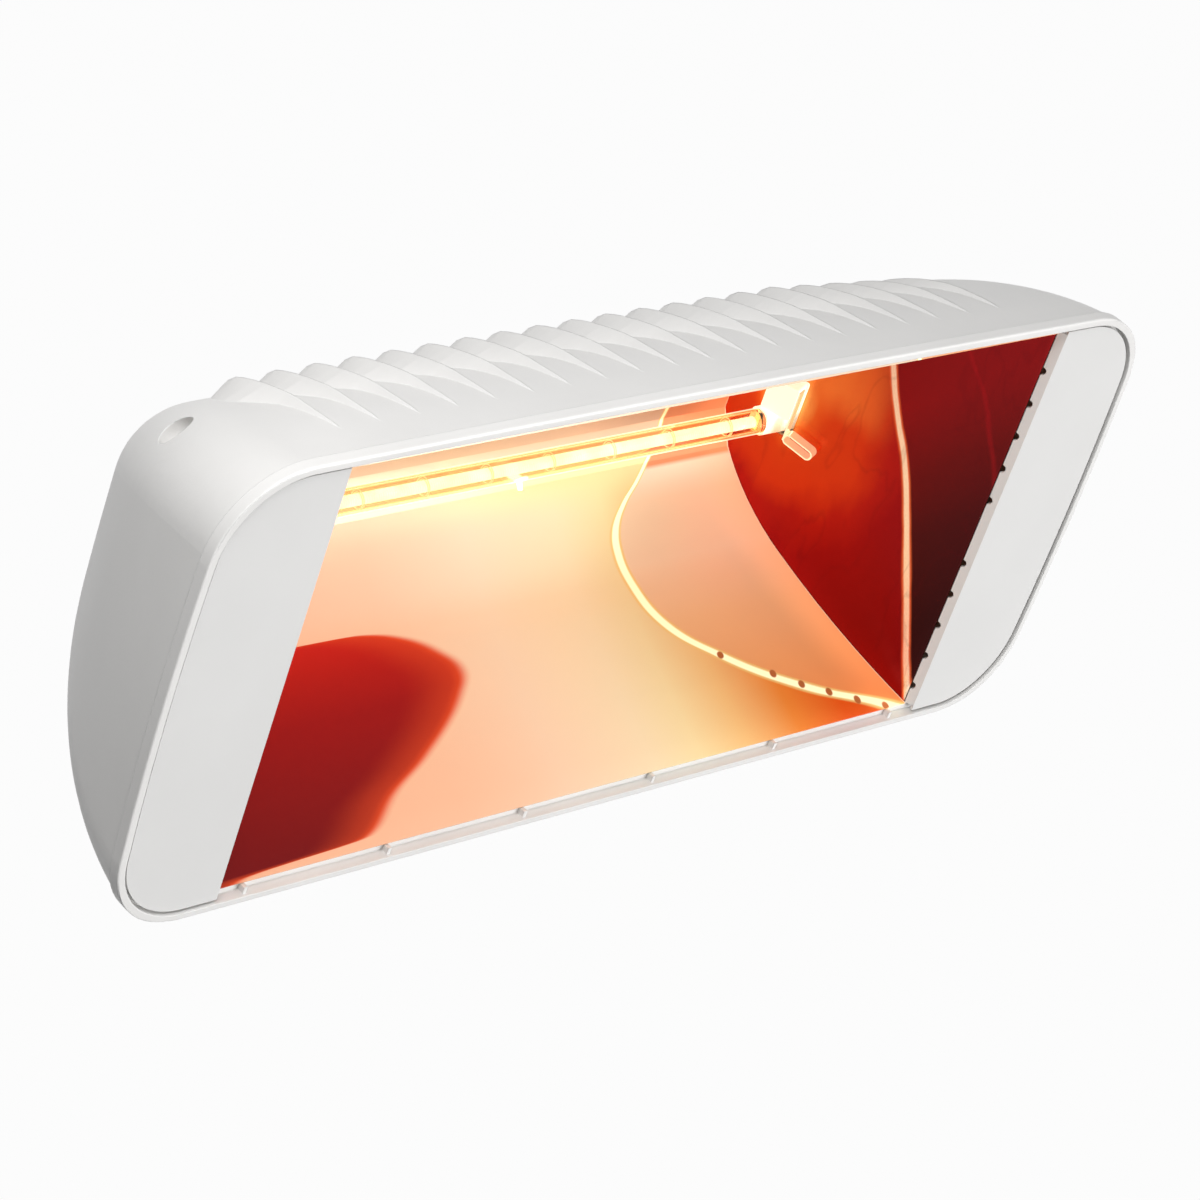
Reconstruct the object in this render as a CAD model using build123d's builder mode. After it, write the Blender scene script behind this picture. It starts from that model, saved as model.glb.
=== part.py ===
"""Wall-mounted infrared patio heater: a tilting cast head with a mirror trough on a steel wall bracket.

Frame: X to the right seen from the room, Y towards the wall, Z up, millimetres.
Origin: centre of the wall plate's back face, on the wall. The head faces -Y at rest.
Head pieces are placed by three numbers: x, the depth behind the front rim, and the height
above the lower edge of the head.
"""
from build123d import *
from math import cos, degrees, pi, sin, sqrt
import os

os.makedirs("parts", exist_ok=True)

# Overall sizes of the head
HEAD_WIDTH = 457.0
HEAD_HEIGHT = 191.0
HEAD_DEPTH = 113.5
SIDE_BOW = 3.7  # the short sides swell by this much at mid height
TOP_CROWN = 1.5  # the long upper edge rises by this much at mid width

# Tilt axis and wall
PIVOT_BEHIND_HEAD = 12.5
PIVOT_HEIGHT = 84.0  # above the lower edge of the head
WALL_TO_PIVOT = 40.0
PLATE_TO_PIVOT = 46.0  # the pivot stands this far above the centre of the wall plate

# Shape of the cast skin: arcs through three places, at the front, at half depth and at the back
SIDE_INSETS = (1.0, 14.8, 58.2)
UNDERSIDE_RISES = (1.0, 20.5, 71.8)
TOP_DROPS = (1.0, 17.3, 60.9)
SPREAD_MARGIN = 1.3  # the turned regions reach this many times as far as the head
CORNER_RADIUS = 32.0
WALL = 3.0
HOLLOW_STEPS = 4  # the inside of the cast wall follows the arcs in this many flat steps
RIM_DEPTH = 5.0
RIM_WIDTH = 2.9
RIM_RADIUS = 35.5
RIM_EDGE_RADIUS = 0.8
LEDGE_DEPTH = 4.5  # the ledge that carries the front panels lies this far back
LEDGE_THICKNESS = 2.5
LEDGE_SIDE_WIDTH = 13.0
STRIP_RIB_COUNT = 6
STRIP_RIB_PITCH = 65.5
STRIP_RIB_WIDTH = 1.6
STRIP_RIB_DEPTH = 1.4  # the ribs start this far behind the rim

# Cooling fins on the top, leaf-shaped seen from above. Each row holds the depth, the place of
# the crest beside the front tip, its rise over the skin, and the run of the broad left flank
# for each millimetre of its fall; the right side of a fin falls straight down.
FIN_COUNT = 20
FIN_PITCH = 17.07
FIRST_FIN_X = -165.1
FIN_ROWS = (
    (17.5, -0.2, -0.5, 1.0),
    (26.0, 0.8, 0.6, 1.0),
    (33.0, 1.5, 1.2, 0.9),
    (40.0, 2.3, 1.9, 0.8),
    (47.0, 3.1, 3.0, 0.8),
    (53.0, 3.6, 3.9, 1.0),
    (59.5, 3.9, 4.8, 1.5),
    (65.0, 4.0, 5.7, 1.9),
    (71.0, 4.0, 6.7, 1.7),
    (76.0, 4.0, 7.5, 1.3),
    (80.0, 4.0, 7.9, 1.0),
    (83.3, 4.0, 6.7, 0.8),
    (85.4, 4.0, 4.4, 0.8),
    (86.0, 4.0, 1.4, 0.9),
)
FIN_ROOT = 5.0  # the fins reach this far under the skin
FIN_FADE_COUNT = 4  # the last fins on the right sink into the skin
FIN_FADE_DEPTH = 30.0

# Screw pockets in the rounded upper corners
POCKET_X = 196.5
POCKET_DEPTH = 60.4
POCKET_HEIGHT = 162.8
POCKET_RADIUS = 6.6
POCKET_SINK = 5.0
POCKET_AXIS = (0.80, 0.30, 0.52)

# Front panels
PANEL_SHEET = 1.2
PANEL_GAP = 1.2  # shadow gap between the rim and a panel
PANEL_SET_BACK = 1.0
PANEL_INNER_X = 176.5  # half the width of the window between the two fold edges
FLANGE_X = 2.2
FLANGE_DEPTH = 4.2
FLANGE_SHEET = 0.9
FLANGE_ROOT = 1.4  # the flange starts this far beside its fold
NOTCH_PITCH = 15.15
NOTCH_PAIRS = 5
NOTCH_RADIUS = 1.8
NOTCH_SIDES = 8
NOTCH_DROP = 4.8  # the middle of the row lies this far below the lamp
STUD_RADIUS = 2.0
STUD_END = 12.0
STUD_SPREAD = 100.0
STUD_FROM_RIM = 6.5
CLIP_RADIUS = 4.2
CLIP_THICKNESS = 1.0
GASKET_SET_BACK = 1.0
GASKET_WIDTH = 2.5

# Mirror trough: a parabola whose focus is the lamp
SHEET = 0.8
EDGE_MARGIN = 6.8  # lower mirror edge above the lower edge of the head
EDGE_DEPTH = 3.3
EDGE_SHEET = 0.9  # the trough's sheet measured up the head at its edges
APEX_MARGIN = 6.5  # apex of the mirror in front of the back of the head
CREASE_HALF = 21.4
STRIP_FLAT_HALF = 6.0
MIRROR_ARCS = 2  # arcs in each half of the mirror's curve
END_SPLAY = 0.43  # sideways run of the end mirrors for each millimetre of depth
END_STEP = 1.0  # from the fold edge of a panel to the end mirror, at the front plane
END_FRONT_DEPTH = 5.4
FIT = 0.3  # clearance between pieces that seat on one another
END_MARGIN = 0.9
CRADLE_X = 80.0
CRADLE_THICKNESS = 3.0
CRADLE_FRONT = 70.0

# Brackets that carry the end mirrors and the lamp holders
END_BRACKET_SHEET = 1.5
END_BRACKET_FRONT = 22.0  # in front of the lamp
END_BRACKET_HALF = 27.0
FOOT_LENGTH = 13.0
BOSS_HEIGHT = 4.0
BOSS_RADIUS = 4.0
BOSS_SPREAD = 34.0

# Lamp
TUBE_RADIUS = 5.2
TUBE_WALL = 1.0
TUBE_END_WALL = 2.0
CAP_STANDOFF = 10.5  # the cap begins this far in front of the end mirror
CAP_LENGTH = 19.0
CAP_DEPTH = 9.0
CAP_HEIGHT = 10.4
CAP_EDGE = 1.0
CAP_ROUND = 2.5
PINCH_LENGTH = 11.0
PINCH_WIDTH = 7.4
PINCH_THICKNESS = 2.6
NIPPLE_RADIUS = 1.5
NIPPLE_LENGTH = 3.2
NIPPLE_ANGLE = 53.0  # below the level, towards the room
COIL_RADIUS = 1.55
COIL_WIRE = 0.55
COIL_TURNS = 16
COIL_SAMPLES = 16  # points on each turn for measuring its gap
SUPPORT_COUNT = 8
SUPPORT_THICKNESS = 0.5
WINDOW_MARGIN = 1.0

# Lamp holders: a ceramic block over each cap, with a spring strip in front of it
HOLDER_FRONT = 7.4
HOLDER_BACK = 5.5
HOLDER_HEIGHT = 14.0
HOLDER_INSIDE = 8.0
HOLDER_OUTSIDE = 14.0
HOLDER_FLANGE = 3.0
HOLDER_FLANGE_MARGIN = 5.0
SPRING_SHEET = 0.6
SPRING_WIDTH = 5.0
SPRING_REACH = 14.0
SPRING_DROP = 3.5
SPRING_LOOP = 4.5
SPRING_TILT = 12.0  # the loop hangs by this many degrees

# Terminal block and leads
TERMINAL_X = 178.0
TERMINAL_WIDTH = 24.0
TERMINAL_HEIGHT = 46.0
TERMINAL_THICKNESS = 16.0
TERMINAL_STAND_OFF = 40.5  # from the inside of the back to the block
TERMINAL_SPREAD = 36.0
POLE_PITCH = 9.0
POLE_HALF = 6.0
POLE_RADIUS = 2.2
POLE_ENTRY = 9.6  # the wires enter this far behind the block's front face
LEAD_RADIUS = 1.5
LEAD_SIDES = 6
LEAD_DEPTH = 50.0
LEAD_BEND = 9.0

# Fasteners
SCREW_RADIUS = 1.5
SCREW_HEAD_RADIUS = 2.8
SCREW_HEAD_HEIGHT = 1.8
SCREW_LENGTH = 6.0
HOLE_CLEARANCE = 0.1
ROUND_SIDES = 12  # small hidden round pieces have this many flat sides

# Cable gland in the back of the head
GLAND_X = 155.0
GLAND_RADIUS = 7.0
GLAND_BORE = 4.5
GLAND_ACROSS = 17.0
GLAND_INSIDE = 5.5
GLAND_COLLAR = 5.0
GLAND_NECK = 8.0
GLAND_CAP_LENGTH = 13.0
GLAND_CAP_RADIUS = 8.6
GLAND_CAP_EDGE = 2.0
GLAND_SEAL_WALL = 1.6
NUT_THICKNESS = 3.5

# Wall bracket
BRACKET_SHEET = 3.0
PLATE_HEIGHT = 64.0
PLATE_CORNER = 8.0
BOLT_SPACING_X = 90.0
BOLT_SPACING_Z = 40.0
BOLT_HOLE_RADIUS = 3.25
ARM_RADIUS = 11.0
ARM_FOOT = 40.0
ARM_FOOT_RAISE = 8.0
LUG_X = 60.0  # outer face of the cast lugs
LUG_THICKNESS = 10.0
LUG_RADIUS = 10.5
LUG_ROOT = 2.1  # the lugs reach this far into the cast back
WASHER_THICKNESS = 1.0
WASHER_RADIUS = 8.5
PIVOT_RADIUS = 4.0
PIVOT_CLEARANCE = 0.08
PIVOT_ACROSS = 13.0
PIVOT_HEAD_HEIGHT = 5.3
PIVOT_NUT_HEIGHT = 6.5
PIVOT_PROUD = 2.0
LOCK_WASHER = 1.6
LOCK_WASHER_RADIUS = 7.0

# Derived places
FRONT_Y = -(HEAD_DEPTH + PIVOT_BEHIND_HEAD + WALL_TO_PIVOT)
BASE_Z = PLATE_TO_PIVOT - PIVOT_HEIGHT
PIVOT_Y = -WALL_TO_PIVOT
PIVOT_Z = PLATE_TO_PIVOT
LAMP_HEIGHT = HEAD_HEIGHT / 2
APEX_DEPTH = HEAD_DEPTH - APEX_MARGIN
HALF_APERTURE = LAMP_HEIGHT - EDGE_MARGIN
FOCAL = HALF_APERTURE**2 / (4 * (APEX_DEPTH - EDGE_DEPTH))
LAMP_DEPTH = APEX_DEPTH - FOCAL
LEDGE_BACK = LEDGE_DEPTH + LEDGE_THICKNESS
END_X_AT_FRONT = PANEL_INNER_X - END_STEP
END_X_AT_LAMP = END_X_AT_FRONT - END_SPLAY * LAMP_DEPTH
TUBE_END = END_X_AT_LAMP - CAP_STANDOFF
CAP_START = TUBE_END + FIT
PANEL_OUTER_INSET = RIM_WIDTH + PANEL_GAP
STUD_X = HEAD_WIDTH / 2 - SIDE_BOW - RIM_WIDTH - STUD_FROM_RIM
PANEL_BACK = PANEL_SET_BACK + PANEL_SHEET
BACK_INSIDE = HEAD_DEPTH - WALL
FOOT_BACK = BACK_INSIDE - BOSS_HEIGHT
TERMINAL_BACK = BACK_INSIDE - TERMINAL_STAND_OFF
SLANT = sqrt(1 + END_SPLAY**2)
BOSS_X = END_X_AT_FRONT - END_SPLAY * FOOT_BACK + FOOT_LENGTH / 2 + 1
ARM_INNER_X = LUG_X + WASHER_THICKNESS
ARM_OUTER_X = ARM_INNER_X + BRACKET_SHEET
BOW_RADIUS = (HEAD_HEIGHT / 2) ** 2 / (2 * SIDE_BOW)
CROWN_RADIUS = (HEAD_WIDTH / 2) ** 2 / (2 * TOP_CROWN)


def front(depth):
    """Plane across the head at a depth: local x is X, local y the height, normal to the room."""
    return Plane(origin=(0, FRONT_Y + depth, BASE_Z), x_dir=(1, 0, 0), z_dir=(0, -1, 0))


def side(x):
    """Plane along the depth at an x: local x is the depth, local y the height, normal +X."""
    return Plane(origin=(x, FRONT_Y, BASE_Z), x_dir=(0, 1, 0), z_dir=(1, 0, 0))


def plan(height):
    """Level plane at a height of the head: local x is X, local y the depth, normal up."""
    return Plane(origin=(0, FRONT_Y, BASE_Z + height), x_dir=(1, 0, 0), z_dir=(0, 0, 1))


def end_plane(offset=0.0):
    """Plane of the right end mirror's inner face, centred on the lamp, normal away from the window."""
    origin = spot(END_X_AT_LAMP, LAMP_DEPTH, LAMP_HEIGHT)
    outwards = Vector(1, END_SPLAY, 0)
    slanted = Plane(origin=origin, x_dir=Vector(-END_SPLAY, 1, 0), z_dir=outwards)
    return slanted.offset(offset)


def spot(x, depth, height):
    """A point of the head in the common frame."""
    return Vector(x, FRONT_Y + depth, BASE_Z + height)


def disc(radius):
    """Small hidden round piece, drawn with flat sides in the current sketch."""
    RegularPolygon(radius, ROUND_SIDES)


def hole(radius, mode=Mode.ADD):
    """Small hidden round hole, drawn with flat sides that clear its radius."""
    RegularPolygon(radius, ROUND_SIDES, major_radius=False, mode=mode)


def save(part, label):
    part.label = label
    export_step(part, f"parts/{label}.step")


def arc_at(values, depth):
    """Value and slope, at a depth, of the arc through values at the front, half depth and back."""
    first, middle, last = values
    half = HEAD_DEPTH / 2
    level = (half**2 + (first**2 + last**2) / 2 - middle**2) / (first + last - 2 * middle)
    centre = (last - first) * (last + first - 2 * level) / (4 * half)
    run = depth - half - centre
    rise = sqrt((middle - level) ** 2 + centre**2 - run**2)
    return level - rise, run / rise


def inside_wall(values, depth):
    """The same arc's value at a depth, moved inwards square to the skin by the wall."""
    value, slope = arc_at(values, depth)
    return value + WALL * sqrt(1 + slope**2)


def skin_height(x, depth):
    """Height of the skin's top over the head's lower edge."""
    return HEAD_HEIGHT - arc_at(TOP_DROPS, depth)[0] - x**2 / (2 * CROWN_RADIUS)


def outline(inset, rise, drop, radius):
    """Rounded front outline with bowed sides and a crowned top, drawn in the current sketch."""
    half = HEAD_WIDTH / 2 - SIDE_BOW - inset
    high = HEAD_HEIGHT - TOP_CROWN - drop
    middle = (rise + high) / 2
    with BuildLine() as line:
        Line((-half, rise), (half, rise))
        ThreePointArc((half, rise), (half + SIDE_BOW, middle), (half, high))
        ThreePointArc((half, high), (0, high + TOP_CROWN), (-half, high))
        ThreePointArc((-half, high), (-half - SIDE_BOW, middle), (-half, rise))
    make_face(line.edges())
    fillet(vertices(), radius)


def even_outline(inset):
    """The front outline moved inwards by the same amount all round."""
    outline(inset, inset, inset, RIM_RADIUS - inset)


def mirror_point(below, margin):
    """Point of the mirror's parabola a distance below the lamp's height, moved outwards by a margin."""
    outwards = Vector(below, 2 * FOCAL)
    outwards = Vector(outwards.Y, -outwards.X) / outwards.length
    return Vector(APEX_DEPTH - below**2 / (4 * FOCAL), LAMP_HEIGHT - below) + outwards * margin


def flip(point):
    """The same point of a side profile, mirrored about the lamp's height."""
    return Vector(point.X, 2 * LAMP_HEIGHT - point.Y)


def mirror_line(margin):
    """Draws the whole mirror profile from its lower to its upper edge in the current line."""
    step = (CREASE_HALF - HALF_APERTURE) / (2 * MIRROR_ARCS)
    places = [HALF_APERTURE + step * number for number in range(2 * MIRROR_ARCS + 1)]
    points = [mirror_point(below, margin) for below in places]
    for number in range(0, 2 * MIRROR_ARCS, 2):
        arc = points[number:number + 3]
        ThreePointArc(*arc)
        ThreePointArc(*[flip(point) for point in arc])
    strip = Vector(APEX_DEPTH + margin, LAMP_HEIGHT - STRIP_FLAT_HALF)
    Polyline(points[-1], strip, flip(strip), flip(points[-1]))
    return points[0]


def mirror_region(margin):
    """Filled side profile of the space inside the mirror, grown by a margin."""
    with BuildLine() as line:
        edge = mirror_line(margin)
        Line(flip(edge), edge)
    make_face(line.edges())


# Outer skin: the underside is an arc along the depth; the sides and the top also swell across
# the head, so they are arcs turned about far axes that run along the depth
def swollen(plane, arc, far, centre, spread):
    """Solid between an arc and a far line of a plane, turned both ways about an axis along the depth."""
    axis = Axis(centre, (0, 1, 0))
    with BuildPart() as region:
        with BuildSketch(plane):
            with BuildLine():
                ThreePointArc(*arc)
                Polyline(arc[-1], *far, arc[0])
            make_face()
        revolve(axis=axis, revolution_arc=2 * spread)
    return region.part.rotate(axis, -spread)


depths = (0, HEAD_DEPTH / 2, HEAD_DEPTH)
half_width = HEAD_WIDTH / 2
with BuildPart() as skin_body:
    with BuildSketch(side(-half_width)):
        with BuildLine():
            underside = list(zip(depths, UNDERSIDE_RISES))
            ThreePointArc(*underside)
            Polyline(underside[-1], (HEAD_DEPTH, HEAD_HEIGHT), (0, HEAD_HEIGHT), underside[0])
        make_face()
    extrude(amount=HEAD_WIDTH)
    top_arc = [(depth, HEAD_HEIGHT - drop) for depth, drop in zip(depths, TOP_DROPS)]
    top_centre = spot(0, 0, HEAD_HEIGHT - CROWN_RADIUS)
    top_spread = SPREAD_MARGIN * degrees(half_width / (CROWN_RADIUS - HEAD_HEIGHT))
    add(
        swollen(side(0), top_arc, [(HEAD_DEPTH, 0), (0, 0)], top_centre, top_spread),
        mode=Mode.INTERSECT,
    )
    side_spread = SPREAD_MARGIN * degrees(LAMP_HEIGHT / (BOW_RADIUS - HEAD_WIDTH))
    for way in (-1, 1):
        side_arc = [(way * (half_width - inset), depth) for depth, inset in zip(depths, SIDE_INSETS)]
        far_side = [(-way * half_width, HEAD_DEPTH), (-way * half_width, 0)]
        side_centre = spot(way * (half_width - BOW_RADIUS), 0, LAMP_HEIGHT)
        add(
            swollen(plan(LAMP_HEIGHT), side_arc, far_side, side_centre, side_spread),
            mode=Mode.INTERSECT,
        )
    long_edges = edges().filter_by(lambda edge: abs((edge @ 0 - edge @ 1).Y) > HEAD_DEPTH / 2)
    fillet(long_edges, CORNER_RADIUS)


def fin(tip_x, fade):
    """One leaf-shaped fin, sunk by its fade towards the back."""
    with BuildPart() as blade:
        for depth, crest_x, full_rise, flank_run in FIN_ROWS:
            sunk = fade * max(0.0, depth - FIN_FADE_DEPTH) / (FIN_ROWS[-1][0] - FIN_FADE_DEPTH)
            rise = full_rise * (1 - sunk)
            x = tip_x + crest_x
            skin = skin_height(x, depth)
            with BuildSketch(front(depth)):
                with BuildLine():
                    Polyline(
                        (x, skin + rise),
                        (x, skin - FIN_ROOT),
                        (x - flank_run * (rise + FIN_ROOT), skin - FIN_ROOT),
                        close=True,
                    )
                make_face()
        loft(ruled=True)
    return blade.part


fins = []
for index in range(FIN_COUNT):
    fading = max(0, index + 1 + FIN_FADE_COUNT - FIN_COUNT) / (FIN_FADE_COUNT + 1)
    fins.append(fin(FIRST_FIN_X + index * FIN_PITCH, fading))


def pocket_plane(way, raised):
    """Plane across a screw pocket, raised over the skin, normal outwards along the screw."""
    sideways, back, up = POCKET_AXIS
    origin = spot(way * POCKET_X, POCKET_DEPTH, POCKET_HEIGHT)
    return Plane(origin=origin, z_dir=(way * sideways, back, up)).offset(raised)


boss_heights = [LAMP_HEIGHT + side_sign * BOSS_SPREAD / 2 for side_sign in (-1, 1)]
bracket_bosses = [(x, height) for x in (-BOSS_X, BOSS_X) for height in boss_heights]
terminal_bosses = [(TERMINAL_X, LAMP_HEIGHT + sign * TERMINAL_SPREAD / 2) for sign in (-1, 1)]

# The hollow behind the ledge, which leaves two cast cradle ribs and the screw bosses
with BuildPart() as hollow:
    for number in range(HOLLOW_STEPS + 1):
        depth = LEDGE_BACK + (BACK_INSIDE - LEDGE_BACK) * number / HOLLOW_STEPS
        wide = half_width - SIDE_BOW - inside_wall(SIDE_INSETS, depth)
        low = inside_wall(UNDERSIDE_RISES, depth)
        high = HEAD_HEIGHT - TOP_CROWN - inside_wall(TOP_DROPS, depth)
        cut = CORNER_RADIUS * (2 - sqrt(2))
        right_half = [(wide - cut, low), (wide, low + cut), (wide, high - cut), (wide - cut, high)]
        left_half = [(-x, height) for x, height in reversed(right_half)]
        with BuildSketch(front(depth)):
            with BuildLine():
                Polyline(*right_half, *left_half, close=True)
            make_face()
    loft(ruled=True)
    for x in (-CRADLE_X, CRADLE_X):
        with BuildSketch(side(x - CRADLE_THICKNESS / 2)):
            with Locations((CRADLE_FRONT + HEAD_DEPTH / 2, LAMP_HEIGHT)):
                Rectangle(HEAD_DEPTH, HEAD_HEIGHT)
            with BuildSketch(mode=Mode.PRIVATE) as inside:
                mirror_region(SHEET + FIT)
            add(inside.sketch, mode=Mode.SUBTRACT)
        extrude(amount=CRADLE_THICKNESS, mode=Mode.SUBTRACT)
    with BuildSketch(front(HEAD_DEPTH)):
        with Locations(*bracket_bosses):
            disc(BOSS_RADIUS)
    extrude(amount=HEAD_DEPTH - FOOT_BACK, mode=Mode.SUBTRACT)
    with BuildSketch(front(HEAD_DEPTH)):
        with Locations(*terminal_bosses):
            disc(BOSS_RADIUS)
    extrude(amount=HEAD_DEPTH - TERMINAL_BACK, mode=Mode.SUBTRACT)
    for way in (-1, 1):
        with BuildSketch(pocket_plane(way, POCKET_RADIUS)):
            Circle(POCKET_RADIUS + WALL)
        extrude(amount=-(POCKET_RADIUS + POCKET_SINK + WALL), mode=Mode.SUBTRACT)

ledge_low = LAMP_HEIGHT - sqrt(4 * FOCAL * (APEX_DEPTH - LEDGE_DEPTH)) - EDGE_SHEET - FIT
rib_top = EDGE_MARGIN - SHEET - FIT
ledge_half = half_width - SIDE_BOW - RIM_WIDTH - LEDGE_SIDE_WIDTH
stud_places = [(x, LAMP_HEIGHT + sign * STUD_SPREAD / 2) for x in (-STUD_X, STUD_X) for sign in (-1, 1)]
rib_places = [(index - (STRIP_RIB_COUNT - 1) / 2) * STRIP_RIB_PITCH for index in range(STRIP_RIB_COUNT)]

with BuildPart() as rim:
    with BuildSketch(front(RIM_DEPTH)):
        even_outline(0)
    extrude(amount=RIM_DEPTH)
    fillet(faces().sort_by(Axis.Y)[0].edges(), RIM_EDGE_RADIUS)

with BuildPart() as housing:
    add(skin_body.part)
    add(fins)
    add(rim.part)
    for x in (-LUG_X, LUG_X - LUG_THICKNESS):
        with BuildSketch(side(x)):
            with Locations((HEAD_DEPTH + PIVOT_BEHIND_HEAD, PIVOT_HEIGHT)):
                Circle(LUG_RADIUS)
            with Locations((HEAD_DEPTH + PIVOT_BEHIND_HEAD, PIVOT_HEIGHT)):
                Rectangle(
                    PIVOT_BEHIND_HEAD + LUG_ROOT, LUG_RADIUS * 2, align=(Align.MAX, Align.CENTER)
                )
        extrude(amount=LUG_THICKNESS)
    add(hollow.part, mode=Mode.SUBTRACT)
    with BuildSketch(front(LEDGE_DEPTH)):
        even_outline(RIM_WIDTH)
    extrude(amount=LEDGE_DEPTH, mode=Mode.SUBTRACT)
    with BuildSketch(front(LEDGE_BACK + FIT)):
        with Locations((0, LAMP_HEIGHT)):
            RectangleRounded(ledge_half * 2, (LAMP_HEIGHT - ledge_low) * 2, LEDGE_SIDE_WIDTH)
    extrude(amount=LEDGE_BACK, mode=Mode.SUBTRACT)
    with BuildSketch(front(LEDGE_DEPTH + FIT)):
        with Locations(*[(x, rib_top) for x in rib_places]):
            Rectangle(STRIP_RIB_WIDTH, rib_top - RIM_WIDTH + FIT, align=(Align.CENTER, Align.MAX))
    extrude(amount=LEDGE_DEPTH + FIT - STRIP_RIB_DEPTH)
    with BuildSketch(front(LEDGE_BACK + FIT)):
        with Locations(*stud_places):
            hole(STUD_RADIUS + HOLE_CLEARANCE)
    extrude(amount=LEDGE_THICKNESS + FIT * 2, mode=Mode.SUBTRACT)
    with BuildSketch(side(-LUG_X)):
        with Locations((HEAD_DEPTH + PIVOT_BEHIND_HEAD, PIVOT_HEIGHT)):
            Circle(PIVOT_RADIUS + PIVOT_CLEARANCE)
    extrude(amount=LUG_X * 2, mode=Mode.SUBTRACT)
    with BuildSketch(front(HEAD_DEPTH)):
        with Locations((GLAND_X, LAMP_HEIGHT)):
            Circle(GLAND_RADIUS + HOLE_CLEARANCE)
    extrude(amount=WALL * 2, mode=Mode.SUBTRACT)
    with BuildSketch(front(FOOT_BACK + SCREW_LENGTH - END_BRACKET_SHEET)):
        with Locations(*bracket_bosses):
            hole(SCREW_RADIUS + HOLE_CLEARANCE)
    extrude(amount=SCREW_LENGTH, mode=Mode.SUBTRACT)
    with BuildSketch(front(TERMINAL_BACK + SCREW_LENGTH)):
        with Locations(*terminal_bosses):
            hole(SCREW_RADIUS + HOLE_CLEARANCE)
    extrude(amount=SCREW_LENGTH, mode=Mode.SUBTRACT)
    for way in (-1, 1):
        with BuildSketch(pocket_plane(way, POCKET_RADIUS)):
            Circle(POCKET_RADIUS)
        extrude(amount=-(POCKET_RADIUS + POCKET_SINK), mode=Mode.SUBTRACT)

save(housing.part, "housing")


# Front panels, right side first
flange_run = Vector(-FLANGE_X, FLANGE_DEPTH - PANEL_SET_BACK).normalized()
flange_back = Vector(-flange_run.Y, flange_run.X) * -1
fold = Vector(PANEL_INNER_X, PANEL_SET_BACK)
flange_edge = fold + Vector(-FLANGE_X, FLANGE_DEPTH - PANEL_SET_BACK)

with BuildPart() as right_panel:
    with BuildSketch(front(PANEL_BACK)):
        even_outline(PANEL_OUTER_INSET)
        with Locations((PANEL_INNER_X, 0)):
            Rectangle(
                HEAD_WIDTH, HEAD_HEIGHT * 3, align=(Align.MAX, Align.CENTER), mode=Mode.SUBTRACT
            )
    extrude(amount=PANEL_SHEET)
    with BuildSketch(plan(ledge_low + FIT)):
        with BuildLine():
            Polyline(
                fold,
                flange_edge,
                flange_edge + flange_back * FLANGE_SHEET,
                (PANEL_INNER_X + FLANGE_ROOT, PANEL_BACK),
                (PANEL_INNER_X + FLANGE_ROOT, PANEL_SET_BACK + PANEL_SHEET / 2),
                close=True,
            )
        make_face()
    extrude(amount=(LAMP_HEIGHT - ledge_low - FIT) * 2)
    notch_plane = Plane(
        origin=spot(flange_edge.X, flange_edge.Y, LAMP_HEIGHT - NOTCH_DROP),
        x_dir=(0, 0, 1),
        z_dir=(flange_back.X, flange_back.Y, 0),
    )
    with BuildSketch(notch_plane.offset(-FLANGE_SHEET)):
        for number in range(1, NOTCH_PAIRS + 1):
            with Locations((-number * NOTCH_PITCH, 0), (number * NOTCH_PITCH, 0)):
                RegularPolygon(NOTCH_RADIUS, NOTCH_SIDES)
    extrude(amount=FLANGE_SHEET * 3, mode=Mode.SUBTRACT)
    with BuildSketch(front(STUD_END)):
        with Locations(*[place for place in stud_places if place[0] > 0]):
            disc(STUD_RADIUS)
    extrude(amount=STUD_END - PANEL_BACK)

with BuildPart() as right_gasket:
    with BuildSketch(front(LEDGE_DEPTH)):
        even_outline(PANEL_OUTER_INSET + GASKET_SET_BACK)
        with BuildSketch(mode=Mode.PRIVATE) as inner:
            even_outline(PANEL_OUTER_INSET + GASKET_SET_BACK + GASKET_WIDTH)
        add(inner.sketch, mode=Mode.SUBTRACT)
        with Locations((PANEL_INNER_X + 2 * FLANGE_SHEET, 0)):
            Rectangle(
                HEAD_WIDTH, HEAD_HEIGHT * 3, align=(Align.MAX, Align.CENTER), mode=Mode.SUBTRACT
            )
    extrude(amount=LEDGE_DEPTH - PANEL_BACK)

with BuildPart() as panel_clips:
    with BuildSketch(front(LEDGE_BACK + CLIP_THICKNESS)):
        with Locations(*stud_places):
            disc(CLIP_RADIUS)
            hole(STUD_RADIUS + HOLE_CLEARANCE, Mode.SUBTRACT)
    extrude(amount=CLIP_THICKNESS)


# Mirror trough, cut along the two slanted end mirrors
def between_ends(clearance):
    """Plan outline of the space between the end mirrors, drawn in the current sketch."""
    wide = END_X_AT_FRONT - clearance
    narrow = END_X_AT_FRONT - END_SPLAY * HEAD_DEPTH - clearance
    with BuildLine() as line:
        Polyline(
            (-wide, 0), (wide, 0), (narrow, HEAD_DEPTH), (-narrow, HEAD_DEPTH), close=True
        )
    make_face(line.edges())


with BuildPart() as trough:
    with BuildSketch(side(-HEAD_WIDTH / 2)):
        with BuildLine() as outer_line:
            outer_edge = mirror_line(SHEET)
        with BuildLine() as inner_line:
            inner_edge = mirror_line(0)
        with BuildLine() as lips:
            Line(outer_edge, inner_edge)
            Line(flip(outer_edge), flip(inner_edge))
        make_face([*outer_line.edges(), *inner_line.edges(), *lips.edges()])
    extrude(amount=HEAD_WIDTH)
    with BuildSketch(plan(0)):
        between_ends(FIT * SLANT)
    extrude(amount=HEAD_HEIGHT, mode=Mode.INTERSECT)

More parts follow.
